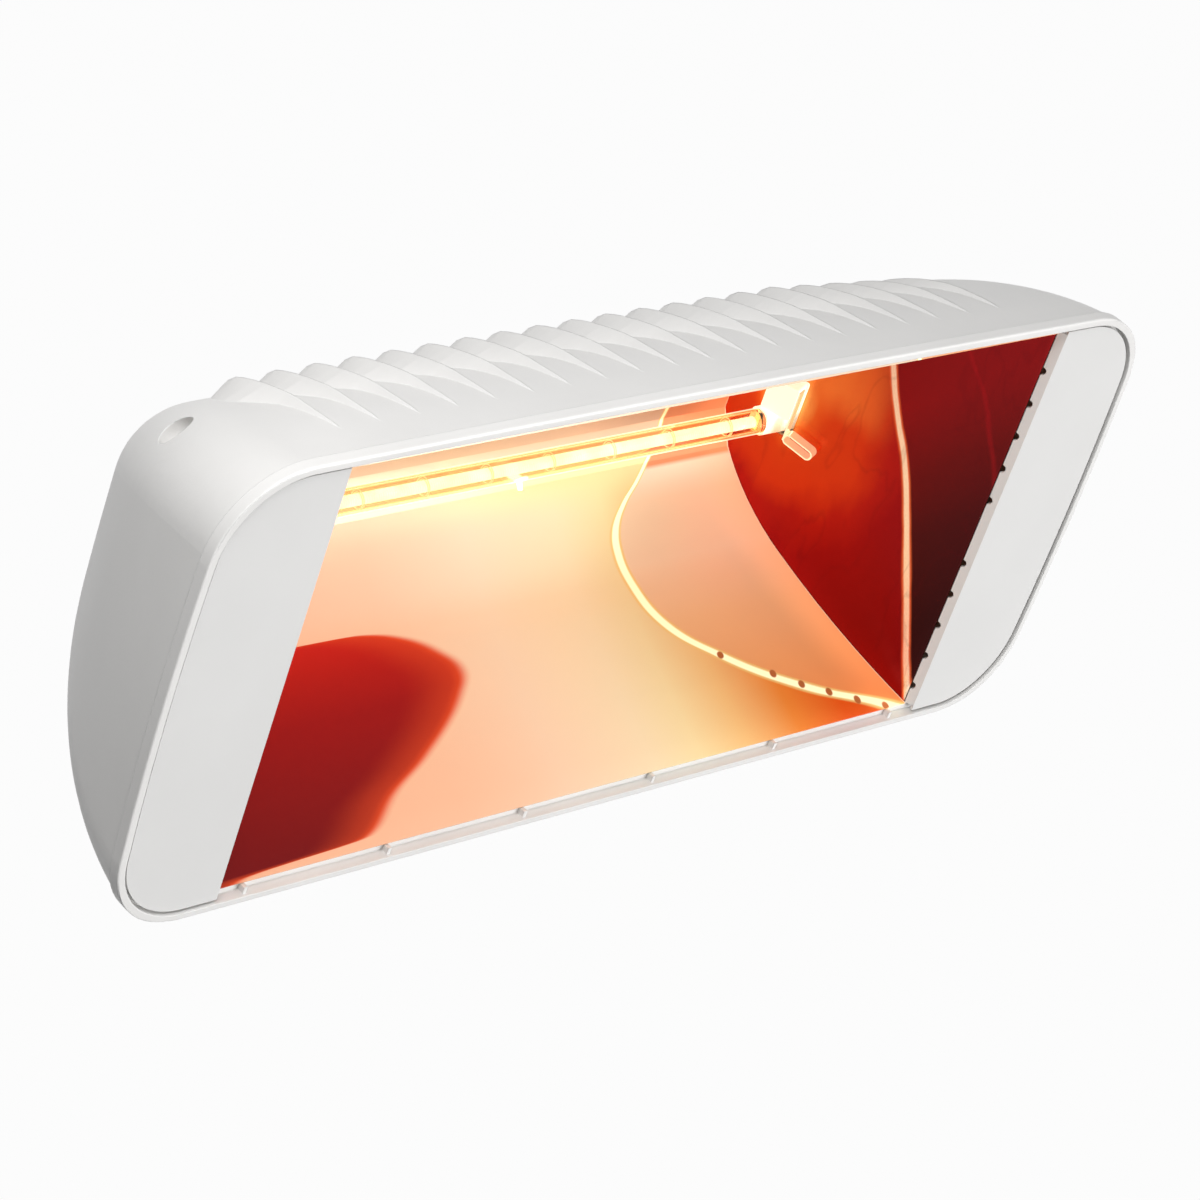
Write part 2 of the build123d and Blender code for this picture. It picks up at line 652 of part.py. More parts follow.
with BuildPart() as right_end:
    with BuildSketch(side(0)):
        mirror_region(SHEET + END_MARGIN)
        with Locations((END_FRONT_DEPTH, LAMP_HEIGHT)):
            Rectangle(HEAD_DEPTH, HEAD_HEIGHT * 2, align=(Align.MAX, Align.CENTER), mode=Mode.SUBTRACT)
    extrude(amount=HEAD_WIDTH / 2)
    with BuildSketch(plan(0)):
        with BuildLine():
            Polyline(
                (END_X_AT_FRONT, 0),
                (END_X_AT_FRONT + SHEET * SLANT, 0),
                (END_X_AT_FRONT + SHEET * SLANT - END_SPLAY * HEAD_DEPTH, HEAD_DEPTH),
                (END_X_AT_FRONT - END_SPLAY * HEAD_DEPTH, HEAD_DEPTH),
                close=True,
            )
        make_face()
    extrude(amount=HEAD_HEIGHT, mode=Mode.INTERSECT)


# What passes through the end mirror: the cap below, the holder block above
window_low = -CAP_HEIGHT / 2 - WINDOW_MARGIN
window_high = CAP_HEIGHT / 2 + FIT + HOLDER_HEIGHT + WINDOW_MARGIN
window_front = -HOLDER_FRONT - WINDOW_MARGIN
window_back = CAP_DEPTH / 2 + SPRING_WIDTH * END_SPLAY + WINDOW_MARGIN


def cut_window():
    """Cuts the lamp's window through the current part, square to the end mirror."""
    with BuildSketch(end_plane(-WINDOW_MARGIN)) as window:
        with Locations(((window_front + window_back) / 2, (window_low + window_high) / 2)):
            RectangleRounded(window_back - window_front, window_high - window_low, WINDOW_MARGIN)
    extrude(window.sketch, amount=HOLDER_FLANGE + WINDOW_MARGIN, mode=Mode.SUBTRACT)


with right_end:
    cut_window()

bracket_x = END_X_AT_FRONT + SHEET * SLANT
web_front = LAMP_DEPTH - END_BRACKET_FRONT
with BuildPart() as right_bracket:
    with BuildSketch(plan(LAMP_HEIGHT - END_BRACKET_HALF)):
        with BuildLine():
            Polyline(
                (bracket_x - END_SPLAY * web_front, web_front),
                (bracket_x - END_SPLAY * FOOT_BACK, FOOT_BACK),
                (bracket_x - END_SPLAY * FOOT_BACK + FOOT_LENGTH, FOOT_BACK),
                (bracket_x - END_SPLAY * FOOT_BACK + FOOT_LENGTH, FOOT_BACK - END_BRACKET_SHEET),
                (
                    bracket_x - END_SPLAY * (FOOT_BACK - END_BRACKET_SHEET) + END_BRACKET_SHEET * SLANT,
                    FOOT_BACK - END_BRACKET_SHEET,
                ),
                (bracket_x - END_SPLAY * web_front + END_BRACKET_SHEET * SLANT, web_front),
                close=True,
            )
        make_face()
    extrude(amount=END_BRACKET_HALF * 2)
    with BuildSketch(front(FOOT_BACK + FIT)):
        with Locations(*[place for place in bracket_bosses if place[0] > 0]):
            hole(SCREW_RADIUS + HOLE_CLEARANCE)
    extrude(amount=END_BRACKET_SHEET * 2, mode=Mode.SUBTRACT)
    cut_window()

with BuildPart() as bracket_screws:
    head_back = FOOT_BACK - END_BRACKET_SHEET
    with BuildSketch(front(head_back)):
        with Locations(*bracket_bosses):
            disc(SCREW_HEAD_RADIUS)
    extrude(amount=SCREW_HEAD_HEIGHT)
    with BuildSketch(front(head_back + SCREW_LENGTH - FIT)):
        with Locations(*bracket_bosses):
            disc(SCREW_RADIUS)
    extrude(amount=SCREW_LENGTH - FIT)

# Lamp: sealed quartz tube with flat pinched ends and an exhaust nipple in the middle
with BuildPart() as tube:
    lamp_start = Plane(origin=spot(-TUBE_END, LAMP_DEPTH, LAMP_HEIGHT), x_dir=(0, 1, 0), z_dir=(1, 0, 0))
    with BuildSketch(lamp_start):
        Circle(TUBE_RADIUS)
    extrude(amount=TUBE_END * 2)
    with BuildSketch(lamp_start.offset(-PINCH_LENGTH)):
        Rectangle(PINCH_THICKNESS, PINCH_WIDTH)
    extrude(amount=TUBE_END * 2 + PINCH_LENGTH * 2)
    nipple_way = Vector(0, -cos(NIPPLE_ANGLE * pi / 180), -sin(NIPPLE_ANGLE * pi / 180))
    with BuildSketch(Plane(origin=spot(0, LAMP_DEPTH, LAMP_HEIGHT), x_dir=(1, 0, 0), z_dir=nipple_way)):
        Circle(NIPPLE_RADIUS)
    extrude(amount=TUBE_RADIUS + NIPPLE_LENGTH, taper=4)
    with BuildSketch(lamp_start.offset(TUBE_END_WALL)):
        Circle(TUBE_RADIUS - TUBE_WALL)
    extrude(amount=(TUBE_END - TUBE_END_WALL) * 2, mode=Mode.SUBTRACT)

coil_half = TUBE_END - TUBE_END_WALL - FIT
coil_pitch = coil_half * 2 / COIL_TURNS


def coil_point(turn):
    """Point and direction of the filament's centre line after a number of turns."""
    angle = 2 * pi * turn
    x = -coil_half + coil_pitch * turn
    point = spot(x, LAMP_DEPTH + COIL_RADIUS * cos(angle), LAMP_HEIGHT + COIL_RADIUS * sin(angle))
    way = Vector(coil_pitch / (2 * pi), -COIL_RADIUS * sin(angle), COIL_RADIUS * cos(angle))
    return point, way.normalized()


coil_arcs = []
for half_turn in range(COIL_TURNS * 2):
    (start, start_way), (stop, stop_way) = coil_point(half_turn / 2), coil_point((half_turn + 1) / 2)
    chord = stop - start
    ways = start_way + stop_way
    square = 2 * (1 - start_way.dot(stop_way))
    reach = (-chord.dot(ways) + sqrt(chord.dot(ways) ** 2 + square * chord.dot(chord))) / square
    join = (start + start_way * reach + stop - stop_way * reach) / 2
    coil_arcs.append(Edge.make_tangent_arc(start, start_way, join))
    coil_arcs.append(Edge.make_tangent_arc(join, (stop - stop_way * reach) - (start + start_way * reach), stop))

samples = [coil_point(number / COIL_SAMPLES)[0] for number in range(COIL_TURNS * COIL_SAMPLES + 1)]
least = min(
    (first - other).length
    for index, first in enumerate(samples)
    for other in samples[index + COIL_SAMPLES // 2:index + 2 * COIL_SAMPLES]
)
print(f"filament: least gap to itself {least - COIL_WIRE * sqrt(2):.2f} mm")

with BuildPart() as filament:
    coil_path = Wire(coil_arcs)
    first_point, first_way = coil_point(0)
    with BuildSketch(Plane(origin=first_point, x_dir=(0, 1, 0), z_dir=first_way)):
        Rectangle(COIL_WIRE, COIL_WIRE)
    sweep(path=coil_path, clean=False)

with BuildPart() as supports:
    for number in range(SUPPORT_COUNT):
        x = (number - (SUPPORT_COUNT - 1) / 2) * coil_half * 2 / SUPPORT_COUNT - SUPPORT_THICKNESS / 2
        with BuildSketch(Plane(origin=spot(x, LAMP_DEPTH, LAMP_HEIGHT), x_dir=(0, 1, 0), z_dir=(1, 0, 0))):
            disc(TUBE_RADIUS - TUBE_WALL - FIT)
            hole(COIL_RADIUS + COIL_WIRE, Mode.SUBTRACT)
        extrude(amount=SUPPORT_THICKNESS)

with BuildPart() as right_cap:
    cap_plane = Plane(origin=spot(CAP_START, LAMP_DEPTH, LAMP_HEIGHT), x_dir=(0, 1, 0), z_dir=(1, 0, 0))
    with BuildSketch(cap_plane):
        RectangleRounded(CAP_DEPTH, CAP_HEIGHT, CAP_ROUND)
    extrude(amount=CAP_LENGTH)
    with BuildSketch(cap_plane):
        Rectangle(PINCH_THICKNESS + FIT * 2, PINCH_WIDTH + FIT * 2)
    extrude(amount=PINCH_LENGTH, mode=Mode.SUBTRACT)

holder_low = CAP_HEIGHT / 2 + FIT
holder_middle = (HOLDER_BACK - HOLDER_FRONT) / 2
flange_start = SHEET + END_BRACKET_SHEET
with BuildPart() as right_holder:
    with BuildSketch(end_plane(-HOLDER_INSIDE)):
        with Locations((holder_middle, holder_low + HOLDER_HEIGHT / 2)):
            RectangleRounded(HOLDER_FRONT + HOLDER_BACK, HOLDER_HEIGHT, CAP_EDGE)
    extrude(amount=HOLDER_INSIDE + HOLDER_OUTSIDE)
    with BuildSketch(end_plane(flange_start)):
        with Locations((holder_middle, holder_low)):
            Rectangle(
                HOLDER_FRONT + HOLDER_BACK + HOLDER_FLANGE_MARGIN * 2,
                HOLDER_HEIGHT + HOLDER_FLANGE_MARGIN,
                align=(Align.CENTER, Align.MIN),
            )
    extrude(amount=HOLDER_FLANGE)

# Spring strip down the holder's front face, ending in a loop that reaches into the room
with BuildPart() as right_spring:
    strip_top = holder_low + HOLDER_HEIGHT - CAP_EDGE
    loop_middle = -HOLDER_FRONT - SPRING_REACH / 2
    with BuildSketch(end_plane(-HOLDER_INSIDE + FIT)):
        with Locations((-HOLDER_FRONT, strip_top)):
            Rectangle(SPRING_SHEET, strip_top + SPRING_DROP, align=(Align.MAX, Align.MAX))
        with Locations((loop_middle, -SPRING_DROP)):
            SlotOverall(SPRING_REACH, SPRING_LOOP, rotation=SPRING_TILT)
            SlotOverall(
                SPRING_REACH - 2 * SPRING_SHEET,
                SPRING_LOOP - 2 * SPRING_SHEET,
                rotation=SPRING_TILT,
                mode=Mode.SUBTRACT,
            )
    extrude(amount=SPRING_WIDTH)

# Terminal block with its screws, on two bosses in the right-hand end of the head
terminal_front = TERMINAL_BACK - TERMINAL_THICKNESS
pole_places = [
    (TERMINAL_X + sign * POLE_HALF, LAMP_HEIGHT + row * POLE_PITCH) for sign in (-1, 1) for row in (-1, 0, 1)
]
with BuildPart() as terminal_block:
    with BuildSketch(front(TERMINAL_BACK)):
        with Locations((TERMINAL_X, LAMP_HEIGHT)):
            RectangleRounded(TERMINAL_WIDTH, TERMINAL_HEIGHT, CAP_EDGE)
    extrude(amount=TERMINAL_THICKNESS)
    with BuildSketch(front(TERMINAL_BACK)):
        with Locations(*terminal_bosses):
            hole(SCREW_RADIUS + HOLE_CLEARANCE)
    extrude(amount=TERMINAL_THICKNESS, mode=Mode.SUBTRACT)
    with BuildSketch(front(terminal_front + SCREW_HEAD_HEIGHT * 2)):
        with Locations(*pole_places):
            hole(POLE_RADIUS + HOLE_CLEARANCE)
    extrude(amount=SCREW_HEAD_HEIGHT * 2, mode=Mode.SUBTRACT)

with BuildPart() as pole_screws:
    with BuildSketch(front(terminal_front + SCREW_HEAD_HEIGHT * 2)):
        with Locations(*pole_places):
            disc(POLE_RADIUS)
    extrude(amount=SCREW_HEAD_HEIGHT)

with BuildPart() as terminal_screws:
    with BuildSketch(front(terminal_front)):
        with Locations(*terminal_bosses):
            disc(SCREW_HEAD_RADIUS)
    extrude(amount=SCREW_HEAD_HEIGHT)
    with BuildSketch(front(TERMINAL_BACK + SCREW_LENGTH - FIT)):
        with Locations(*terminal_bosses):
            disc(SCREW_RADIUS)
    extrude(amount=TERMINAL_THICKNESS + SCREW_LENGTH - FIT)

# Insulated leads from the lamp caps to the terminal block
cap_end = CAP_START + CAP_LENGTH
lead_turn_x = cap_end + LEAD_BEND + LEAD_RADIUS
pole_depth = terminal_front + POLE_ENTRY
terminal_side = TERMINAL_X - TERMINAL_WIDTH / 2
terminal_top = LAMP_HEIGHT + TERMINAL_HEIGHT / 2
trough_top = LAMP_HEIGHT + sqrt(4 * FOCAL * (APEX_DEPTH - LEAD_DEPTH)) + EDGE_SHEET + END_MARGIN
hollow_top = HEAD_HEIGHT - TOP_CROWN - inside_wall(TOP_DROPS, LEAD_DEPTH)
lead_height = (trough_top + hollow_top) / 2


def lead(points):
    """An insulated wire along straight runs joined by arcs, in the current part."""
    with BuildLine() as route:
        FilletPolyline(*points, radius=LEAD_BEND)
    line = route.line
    with BuildSketch(Plane(origin=line @ 0, z_dir=line % 0)) as section:
        RegularPolygon(LEAD_RADIUS, LEAD_SIDES)
    sweep(section.sketch, path=line)


with BuildPart() as right_lead:
    lead([
        spot(cap_end, LAMP_DEPTH, LAMP_HEIGHT),
        spot(lead_turn_x, LAMP_DEPTH, LAMP_HEIGHT),
        spot(lead_turn_x, pole_depth, LAMP_HEIGHT + POLE_PITCH),
        spot(terminal_side, pole_depth, LAMP_HEIGHT + POLE_PITCH),
    ])

with BuildPart() as left_lead:
    lead([
        spot(-cap_end, LAMP_DEPTH, LAMP_HEIGHT),
        spot(-lead_turn_x - LEAD_BEND, LAMP_DEPTH, LAMP_HEIGHT),
        spot(-lead_turn_x - LEAD_BEND, LEAD_DEPTH, lead_height),
        spot(TERMINAL_X - POLE_HALF, LEAD_DEPTH, lead_height),
        spot(TERMINAL_X - POLE_HALF, pole_depth, terminal_top + LEAD_BEND * 2),
        spot(TERMINAL_X - POLE_HALF, pole_depth, terminal_top),
    ])

# Cable gland in the back of the head
gland_start = HEAD_DEPTH + GLAND_COLLAR


def gland_plane(depth):
    """Plane across the gland's axis at a depth, normal towards the room."""
    return Plane(origin=spot(GLAND_X, depth, LAMP_HEIGHT), x_dir=(1, 0, 0), z_dir=(0, -1, 0))


with BuildPart() as gland_body:
    with BuildSketch(gland_plane(gland_start + GLAND_NECK)):
        Circle(GLAND_RADIUS - FIT)
    extrude(amount=GLAND_NECK)
    with BuildSketch(gland_plane(gland_start)):
        RegularPolygon(GLAND_ACROSS / 2, 6, major_radius=False)
    extrude(amount=GLAND_COLLAR)
    with BuildSketch(gland_plane(HEAD_DEPTH)):
        Circle(GLAND_RADIUS)
    extrude(amount=WALL + GLAND_INSIDE)
    with BuildSketch(gland_plane(gland_start + GLAND_NECK)):
        Circle(GLAND_BORE)
    extrude(amount=HEAD_DEPTH, mode=Mode.SUBTRACT)
    with BuildSketch(gland_plane(gland_start + GLAND_NECK)):
        Circle(GLAND_BORE + GLAND_SEAL_WALL)
    extrude(amount=GLAND_NECK - FIT, mode=Mode.SUBTRACT)

with BuildPart() as gland_seal:
    with BuildSketch(gland_plane(gland_start + GLAND_NECK)):
        Circle(GLAND_BORE + GLAND_SEAL_WALL - HOLE_CLEARANCE)
        Circle(GLAND_BORE - FIT, mode=Mode.SUBTRACT)
    extrude(amount=GLAND_NECK - FIT * 2)

with BuildPart() as gland_cap:
    with BuildSketch(gland_plane(gland_start + FIT + GLAND_CAP_LENGTH)):
        Circle(GLAND_CAP_RADIUS - GLAND_CAP_EDGE)
    with BuildSketch(gland_plane(gland_start + FIT + GLAND_CAP_LENGTH - GLAND_CAP_EDGE)):
        Circle(GLAND_CAP_RADIUS)
    loft()
    with BuildSketch(gland_plane(gland_start + FIT + GLAND_CAP_LENGTH - GLAND_CAP_EDGE)):
        Circle(GLAND_CAP_RADIUS)
    extrude(amount=GLAND_CAP_LENGTH - GLAND_CAP_EDGE)
    with BuildSketch(gland_plane(gland_start + FIT + GLAND_CAP_LENGTH)):
        Circle(GLAND_BORE)
    extrude(amount=GLAND_CAP_LENGTH, mode=Mode.SUBTRACT)
    with BuildSketch(gland_plane(gland_start + GLAND_NECK + FIT)):
        Circle(GLAND_RADIUS - FIT + HOLE_CLEARANCE)
    extrude(amount=GLAND_NECK, mode=Mode.SUBTRACT)

with BuildPart() as gland_nut:
    with BuildSketch(gland_plane(BACK_INSIDE)):
        RegularPolygon(GLAND_ACROSS / 2, 6, major_radius=False)
        Circle(GLAND_RADIUS + HOLE_CLEARANCE, mode=Mode.SUBTRACT)
    extrude(amount=NUT_THICKNESS)

# Wall bracket: a plate with two arms bent forward
with BuildPart() as bracket:
    with BuildSketch(Plane(origin=(0, 0, 0), x_dir=(1, 0, 0), z_dir=(0, -1, 0))):
        RectangleRounded(ARM_OUTER_X * 2, PLATE_HEIGHT, PLATE_CORNER)
        with GridLocations(BOLT_SPACING_X, BOLT_SPACING_Z, 2, 2):
            Circle(BOLT_HOLE_RADIUS, mode=Mode.SUBTRACT)
    extrude(amount=BRACKET_SHEET)
    for x in (-ARM_OUTER_X, ARM_INNER_X):
        with BuildSketch(Plane(origin=(x, 0, 0), x_dir=(0, 1, 0), z_dir=(1, 0, 0))):
            with Locations((PIVOT_Y, PIVOT_Z)):
                Circle(ARM_RADIUS)
            with Locations((-BRACKET_SHEET / 2, ARM_FOOT_RAISE)):
                Rectangle(BRACKET_SHEET, ARM_FOOT - ARM_FOOT_RAISE)
            make_hull()
            with Locations((PIVOT_Y, PIVOT_Z)):
                Circle(PIVOT_RADIUS + PIVOT_CLEARANCE, mode=Mode.SUBTRACT)
        extrude(amount=BRACKET_SHEET)


def pivot_stack(x, thickness, draw, hole=0.0):
    """Pieces at the same distance on both pivots: a drawn section, its thickness and its bore."""
    for start in (x, -x - thickness):
        with BuildSketch(Plane(origin=(start, PIVOT_Y, PIVOT_Z), x_dir=(0, 1, 0), z_dir=(1, 0, 0))) as ring:
            draw()
            if hole:
                Circle(hole, mode=Mode.SUBTRACT)
        extrude(ring.sketch, amount=thickness)


bolt_inner = LUG_X - LUG_THICKNESS - PIVOT_NUT_HEIGHT - PIVOT_PROUD
bolt_outer = ARM_OUTER_X + LOCK_WASHER
with BuildPart() as pivot_bolts:
    pivot_stack(bolt_inner, bolt_outer - bolt_inner, lambda: Circle(PIVOT_RADIUS))
    pivot_stack(
        bolt_outer, PIVOT_HEAD_HEIGHT, lambda: RegularPolygon(PIVOT_ACROSS / 2, 6, major_radius=False)
    )

with BuildPart() as pivot_nuts:
    pivot_stack(
        LUG_X - LUG_THICKNESS - PIVOT_NUT_HEIGHT,
        PIVOT_NUT_HEIGHT,
        lambda: RegularPolygon(PIVOT_ACROSS / 2, 6, major_radius=False),
        PIVOT_RADIUS + PIVOT_CLEARANCE,
    )

with BuildPart() as friction_washers:
    pivot_stack(LUG_X, WASHER_THICKNESS, lambda: Circle(WASHER_RADIUS), PIVOT_RADIUS + PIVOT_CLEARANCE)

with BuildPart() as lock_washers:
    pivot_stack(ARM_OUTER_X, LOCK_WASHER, lambda: Circle(LOCK_WASHER_RADIUS), PIVOT_RADIUS + PIVOT_CLEARANCE)

# Pieces that come in pairs are modelled on the right and mirrored to the left
PAIRS = {
    "front_panel": right_panel,
    "panel_gasket": right_gasket,
    "end_reflector": right_end,
    "end_bracket": right_bracket,
    "lamp_cap": right_cap,
    "lamp_holder": right_holder,
    "holder_spring": right_spring,
}
for label, piece in PAIRS.items():
    with BuildPart() as left_copy:
        mirror(piece.part, about=Plane.YZ)
    save(left_copy.part, label + "_left")
    save(piece.part, label + "_right")

SINGLES = {
    "panel_clips": panel_clips,
    "reflector_trough": trough,
    "bracket_screws": bracket_screws,
    "lamp_tube": tube,
    "filament": filament,
    "filament_supports": supports,
    "terminal_block": terminal_block,
    "pole_screws": pole_screws,
    "terminal_screws": terminal_screws,
    "lamp_lead_left": left_lead,
    "lamp_lead_right": right_lead,
    "gland_body": gland_body,
    "gland_seal": gland_seal,
    "gland_cap": gland_cap,
    "gland_locknut": gland_nut,
    "wall_bracket": bracket,
    "pivot_bolts": pivot_bolts,
    "pivot_nuts": pivot_nuts,
    "friction_washers": friction_washers,
    "lock_washers": lock_washers,
}
for label, piece in SINGLES.items():
    save(piece.part, label)
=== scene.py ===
"""Looks of a wall-mounted infrared patio heater, made around its CAD frame.

Metres, in the frame's own axes: X to the right seen from the room, Y towards the wall, Z up.
Painted reflections and painted glows on the mirrors and the lamp are placed in millimetres: across from the
head's middle, in depth behind its rim and in height above its lower edge. A step is a pair of values between
which a mask goes from 0 to 1.
"""

from collections import namedtuple
from math import cos, pi, sin

import bmesh
import bpy
from mathutils import Matrix, Vector


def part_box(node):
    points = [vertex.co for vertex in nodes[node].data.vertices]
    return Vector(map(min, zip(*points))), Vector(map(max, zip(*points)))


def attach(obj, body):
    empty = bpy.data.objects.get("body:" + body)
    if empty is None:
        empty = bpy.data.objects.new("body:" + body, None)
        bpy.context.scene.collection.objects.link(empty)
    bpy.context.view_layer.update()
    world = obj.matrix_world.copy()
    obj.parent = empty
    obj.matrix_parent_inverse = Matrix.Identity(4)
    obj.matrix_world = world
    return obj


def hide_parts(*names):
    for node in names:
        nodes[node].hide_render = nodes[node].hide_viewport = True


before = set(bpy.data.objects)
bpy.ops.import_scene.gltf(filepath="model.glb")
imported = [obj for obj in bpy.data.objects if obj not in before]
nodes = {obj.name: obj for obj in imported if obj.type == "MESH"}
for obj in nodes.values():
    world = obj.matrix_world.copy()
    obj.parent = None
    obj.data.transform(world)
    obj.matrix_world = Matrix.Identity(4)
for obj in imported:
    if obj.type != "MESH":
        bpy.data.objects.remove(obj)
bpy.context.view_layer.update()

Finish = namedtuple("Finish", "dark light rough grain relief drift metal", defaults=(24.0, 0.0))
Band = namedtuple("Band", "start stop stops")  # colours from one place to another
Line = namedtuple("Line", "heights places points")  # a place for each height, with the range of both
Light = namedtuple("Light", "start size power")


def linear(red, green, blue):
    """A colour of a screen, 0 to 255, as linear light."""
    shares = [value / 255 for value in (red, green, blue)]
    return tuple(share / 12.92 if share <= 0.04045 else ((share + 0.055) / 1.055) ** 2.4 for share in shares)


# Camera, as it stood for the photograph
CAMERA_PLACE = Vector((-1.0003, -0.9491, 0.8263))
CAMERA_RIGHT = Vector((0.7302, -0.6190, 0.2892))
CAMERA_AHEAD = Vector((0.6623, 0.5377, -0.5218))
CAMERA_LENS = 123.0
CAMERA_SENSOR = 36.0

# Studio
FLOOR_BELOW = 0.75  # the floor lies this far below the origin
FLOOR_SIZE = 9.0
FLOOR_CELLS = 4
FLOOR_PALE = 0.2
FLOOR_ROUGHNESS = 0.9
FLOOR_WHITE = 0.97  # share of the floor that shows plain white
WORLD_LIGHT = 0.16
LIGHT_AIM = Vector((0, -0.1, 0.05))
LIGHTS = {
    "key": Light(start=(-0.55, -0.25, 0.92), size=0.6, power=8.9),
    "fill": Light(start=(0.7, -2.2, 0.2), size=1.4, power=43.0),
}

# Finishes: two colours and their roughness, grains a metre and their relief in metres, and where they
# differ from most, patches of colour a metre and how metallic they are
FINISHES = {
    "cast_shell": Finish((0.76, 0.75, 0.735), (0.80, 0.79, 0.775), (0.34, 0.42), 900, 0.00003),
    "panel_paint": Finish((0.70, 0.695, 0.685), (0.72, 0.715, 0.705), (0.36, 0.44), 1500, 0.00001),
    "galvanised": Finish((0.55, 0.56, 0.58), (0.7, 0.71, 0.73), (0.3, 0.45), 700, 0.00001, 160, 1.0),
    "clip_steel": Finish((0.66, 0.66, 0.67), (0.76, 0.76, 0.77), (0.2, 0.34), 1400, 0.000005, metal=1.0),
    "black_paint": Finish((0.085, 0.085, 0.09), (0.115, 0.115, 0.12), (0.42, 0.52), 900, 0.00004),
    "silicone": Finish((0.58, 0.58, 0.575), (0.66, 0.66, 0.65), (0.7, 0.85), 1600, 0.00003),
    "ceramic_white": Finish((0.86, 0.84, 0.80), (0.94, 0.92, 0.89), (0.55, 0.7), 1800, 0.00005),
    "spring_steel": Finish((0.80, 0.74, 0.66), (0.92, 0.86, 0.78), (0.18, 0.3), 1400, 0.000005, metal=1.0),
    "fasteners": Finish((0.5, 0.5, 0.51), (0.66, 0.66, 0.67), (0.25, 0.4), 1600, 0.00001, metal=1.0),
    "gland_plastic": Finish((0.045, 0.045, 0.047), (0.065, 0.065, 0.067), (0.5, 0.65), 1200, 0.00003),
    "lead_sleeve": Finish((0.66, 0.62, 0.54), (0.76, 0.72, 0.64), (0.6, 0.8), 2200, 0.0001, 400),
    "terminal_ceramic": Finish((0.76, 0.74, 0.7), (0.86, 0.84, 0.8), (0.5, 0.7), 1500, 0.00005),
}
NOISE_RANGE = (0.3, 0.7)  # noise seldom leaves it
DRIFT_DETAIL = 4.0
GRAIN_DETAIL = 2.0

# Casting
CAST_EDGE = 0.0007  # how far its edges look rounded
CAST_EDGE_SAMPLES = 6
CAST_EDGE_STEP = (0.9995, 0.985)  # cosine between the rounded surface and the flat one
# Painted highlight: a paler colour along the casting's edges
CAST_EDGE_HIGHLIGHT = (0.86, 0.855, 0.84)

# Lamp
COIL_PITCH = 0.0011
COIL_STEPS = 12  # points in a turn
COIL_WIRE = 0.00042
COIL_SWELL = 1.15  # the hot coil looks wider than it is cold
COIL_DIM = (1.0, 0.80, 0.52)
COIL_BRIGHT = (1.0, 0.93, 0.76)
COIL_GLOW = 2.1
SUPPORT_COUNT = 8
SUPPORT_SHEET = 0.0005  # thickness of the frame's discs
SUPPORT_WIRE = 0.0002
SUPPORT_TURNS = 1.75  # the last whole turn lies along the tube's wall
SUPPORT_STEPS = 42
SUPPORT_WOUND = 0.0006  # how far a loop's wire runs along the tube
SUPPORT_DIM = (1.0, 0.62, 0.28)
SUPPORT_BRIGHT = (1.0, 0.78, 0.45)
SUPPORT_GLOW = 1.3
WIRE_ROUNDNESS = 1
HEAT_SCALE = 90
HEAT_DETAIL = 2.0
COLD_WIRE = (0.3, 0.25, 0.2, 1)
BLACK = (0, 0, 0)
# Painted highlights of the quartz: its walls where they are seen edge on, and its nipple
QUARTZ_EDGE_LIGHT = ((0.54, BLACK), (0.66, linear(240, 170, 90)), (0.76, linear(255, 240, 200)))
QUARTZ_EDGE_BLEND = 0.5
QUARTZ_GLOW = 1.0
QUARTZ_TINTS = ((0.95, 0.70, 0.44), (0.97, 0.78, 0.54))
QUARTZ_ROUGHNESS = (0.01, 0.05)
QUARTZ_DRIFT = {"scale": 60, "detail": 3.0, "stretch": (0.3, 1, 1)}
QUARTZ_INDEX = 1.46
NIPPLE_PLACE = (0, 91)  # across and in height
NIPPLE_REACH = (3.6, 4.6)
NIPPLE_LIGHT = linear(255, 248, 228)
# Painted glow of the lamp's caps and holders, by height
CERAMIC_LIGHT = Band(85, 105, ((0.2, linear(235, 150, 70)), (0.7, linear(255, 240, 210))))
CERAMIC_GLOW = 0.7
# Painted glow of the holder springs in the lamp's light
SPRING_LIGHT = (1.0, 0.72, 0.4, 1)
SPRING_GLOW = 0.5

# Head
FRONT_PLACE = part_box("housing")[0].y
LOWER_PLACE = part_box("housing")[0].z
MILLIMETRES = 1000  # in a metre
END_FOOT = 175.5  # an end mirror's plane lies this far across at the rim
END_SPLAY = 0.43  # and comes in by this much for each millimetre of depth

# Lips of the end mirrors, in millimetres, but inset and sheet in metres
LIP_BACK = 6.0
LIP_FRONT = 5.0
LIP_EDGE_ACROSS = 174.0
LIP_EDGE_DEPTH = 4.5
LIP_INSET = 0.0006
LIP_SHEET = 0.0002
LIP_STEPS = 12

# Both mirrors
MIRROR_ROUGHNESS = (0.24, 0.27)
MIRROR_SHEEN = 0.25
SPOT_STEP = (1.0, 0.4)  # squared share of a spot's reach

# Trough pattern: painted reflections of the studio and painted lamp light
TROUGH_METAL = 0.4
# Share of its painted colour that the trough gives off as painted glow
TROUGH_GLOW = 0.12
TROUGH_STREAKS = {"scale": 30, "detail": 3.0, "stretch": (0.15, 6, 6)}
TROUGH_COLOURS = Band(-150, 150, (
    (0.0, linear(246, 186, 152)), (0.3, linear(246, 201, 169)), (0.47, linear(246, 221, 190)),
    (0.62, linear(250, 230, 188)), (0.7, linear(252, 229, 172)), (0.78, linear(253, 204, 134)),
    (0.88, linear(248, 144, 58)), (0.97, linear(242, 94, 24)),
))
PINK = linear(240, 178, 140)
PINK_HEIGHT_STEP = (42, 8)
PINK_ACROSS_STEP = (60, -60)
PINK_SHARE = 0.4
# Painted lamp light below the lamp
YELLOW = linear(255, 227, 166)
YELLOW_HEIGHT_STEP = (62, 76)
YELLOW_ACROSS_STEP = (-70, 50)
# Painted reflection behind the lamp
BEHIND_LAMP = linear(228, 200, 172)
BEHIND_LAMP_STEP = (75, 80)
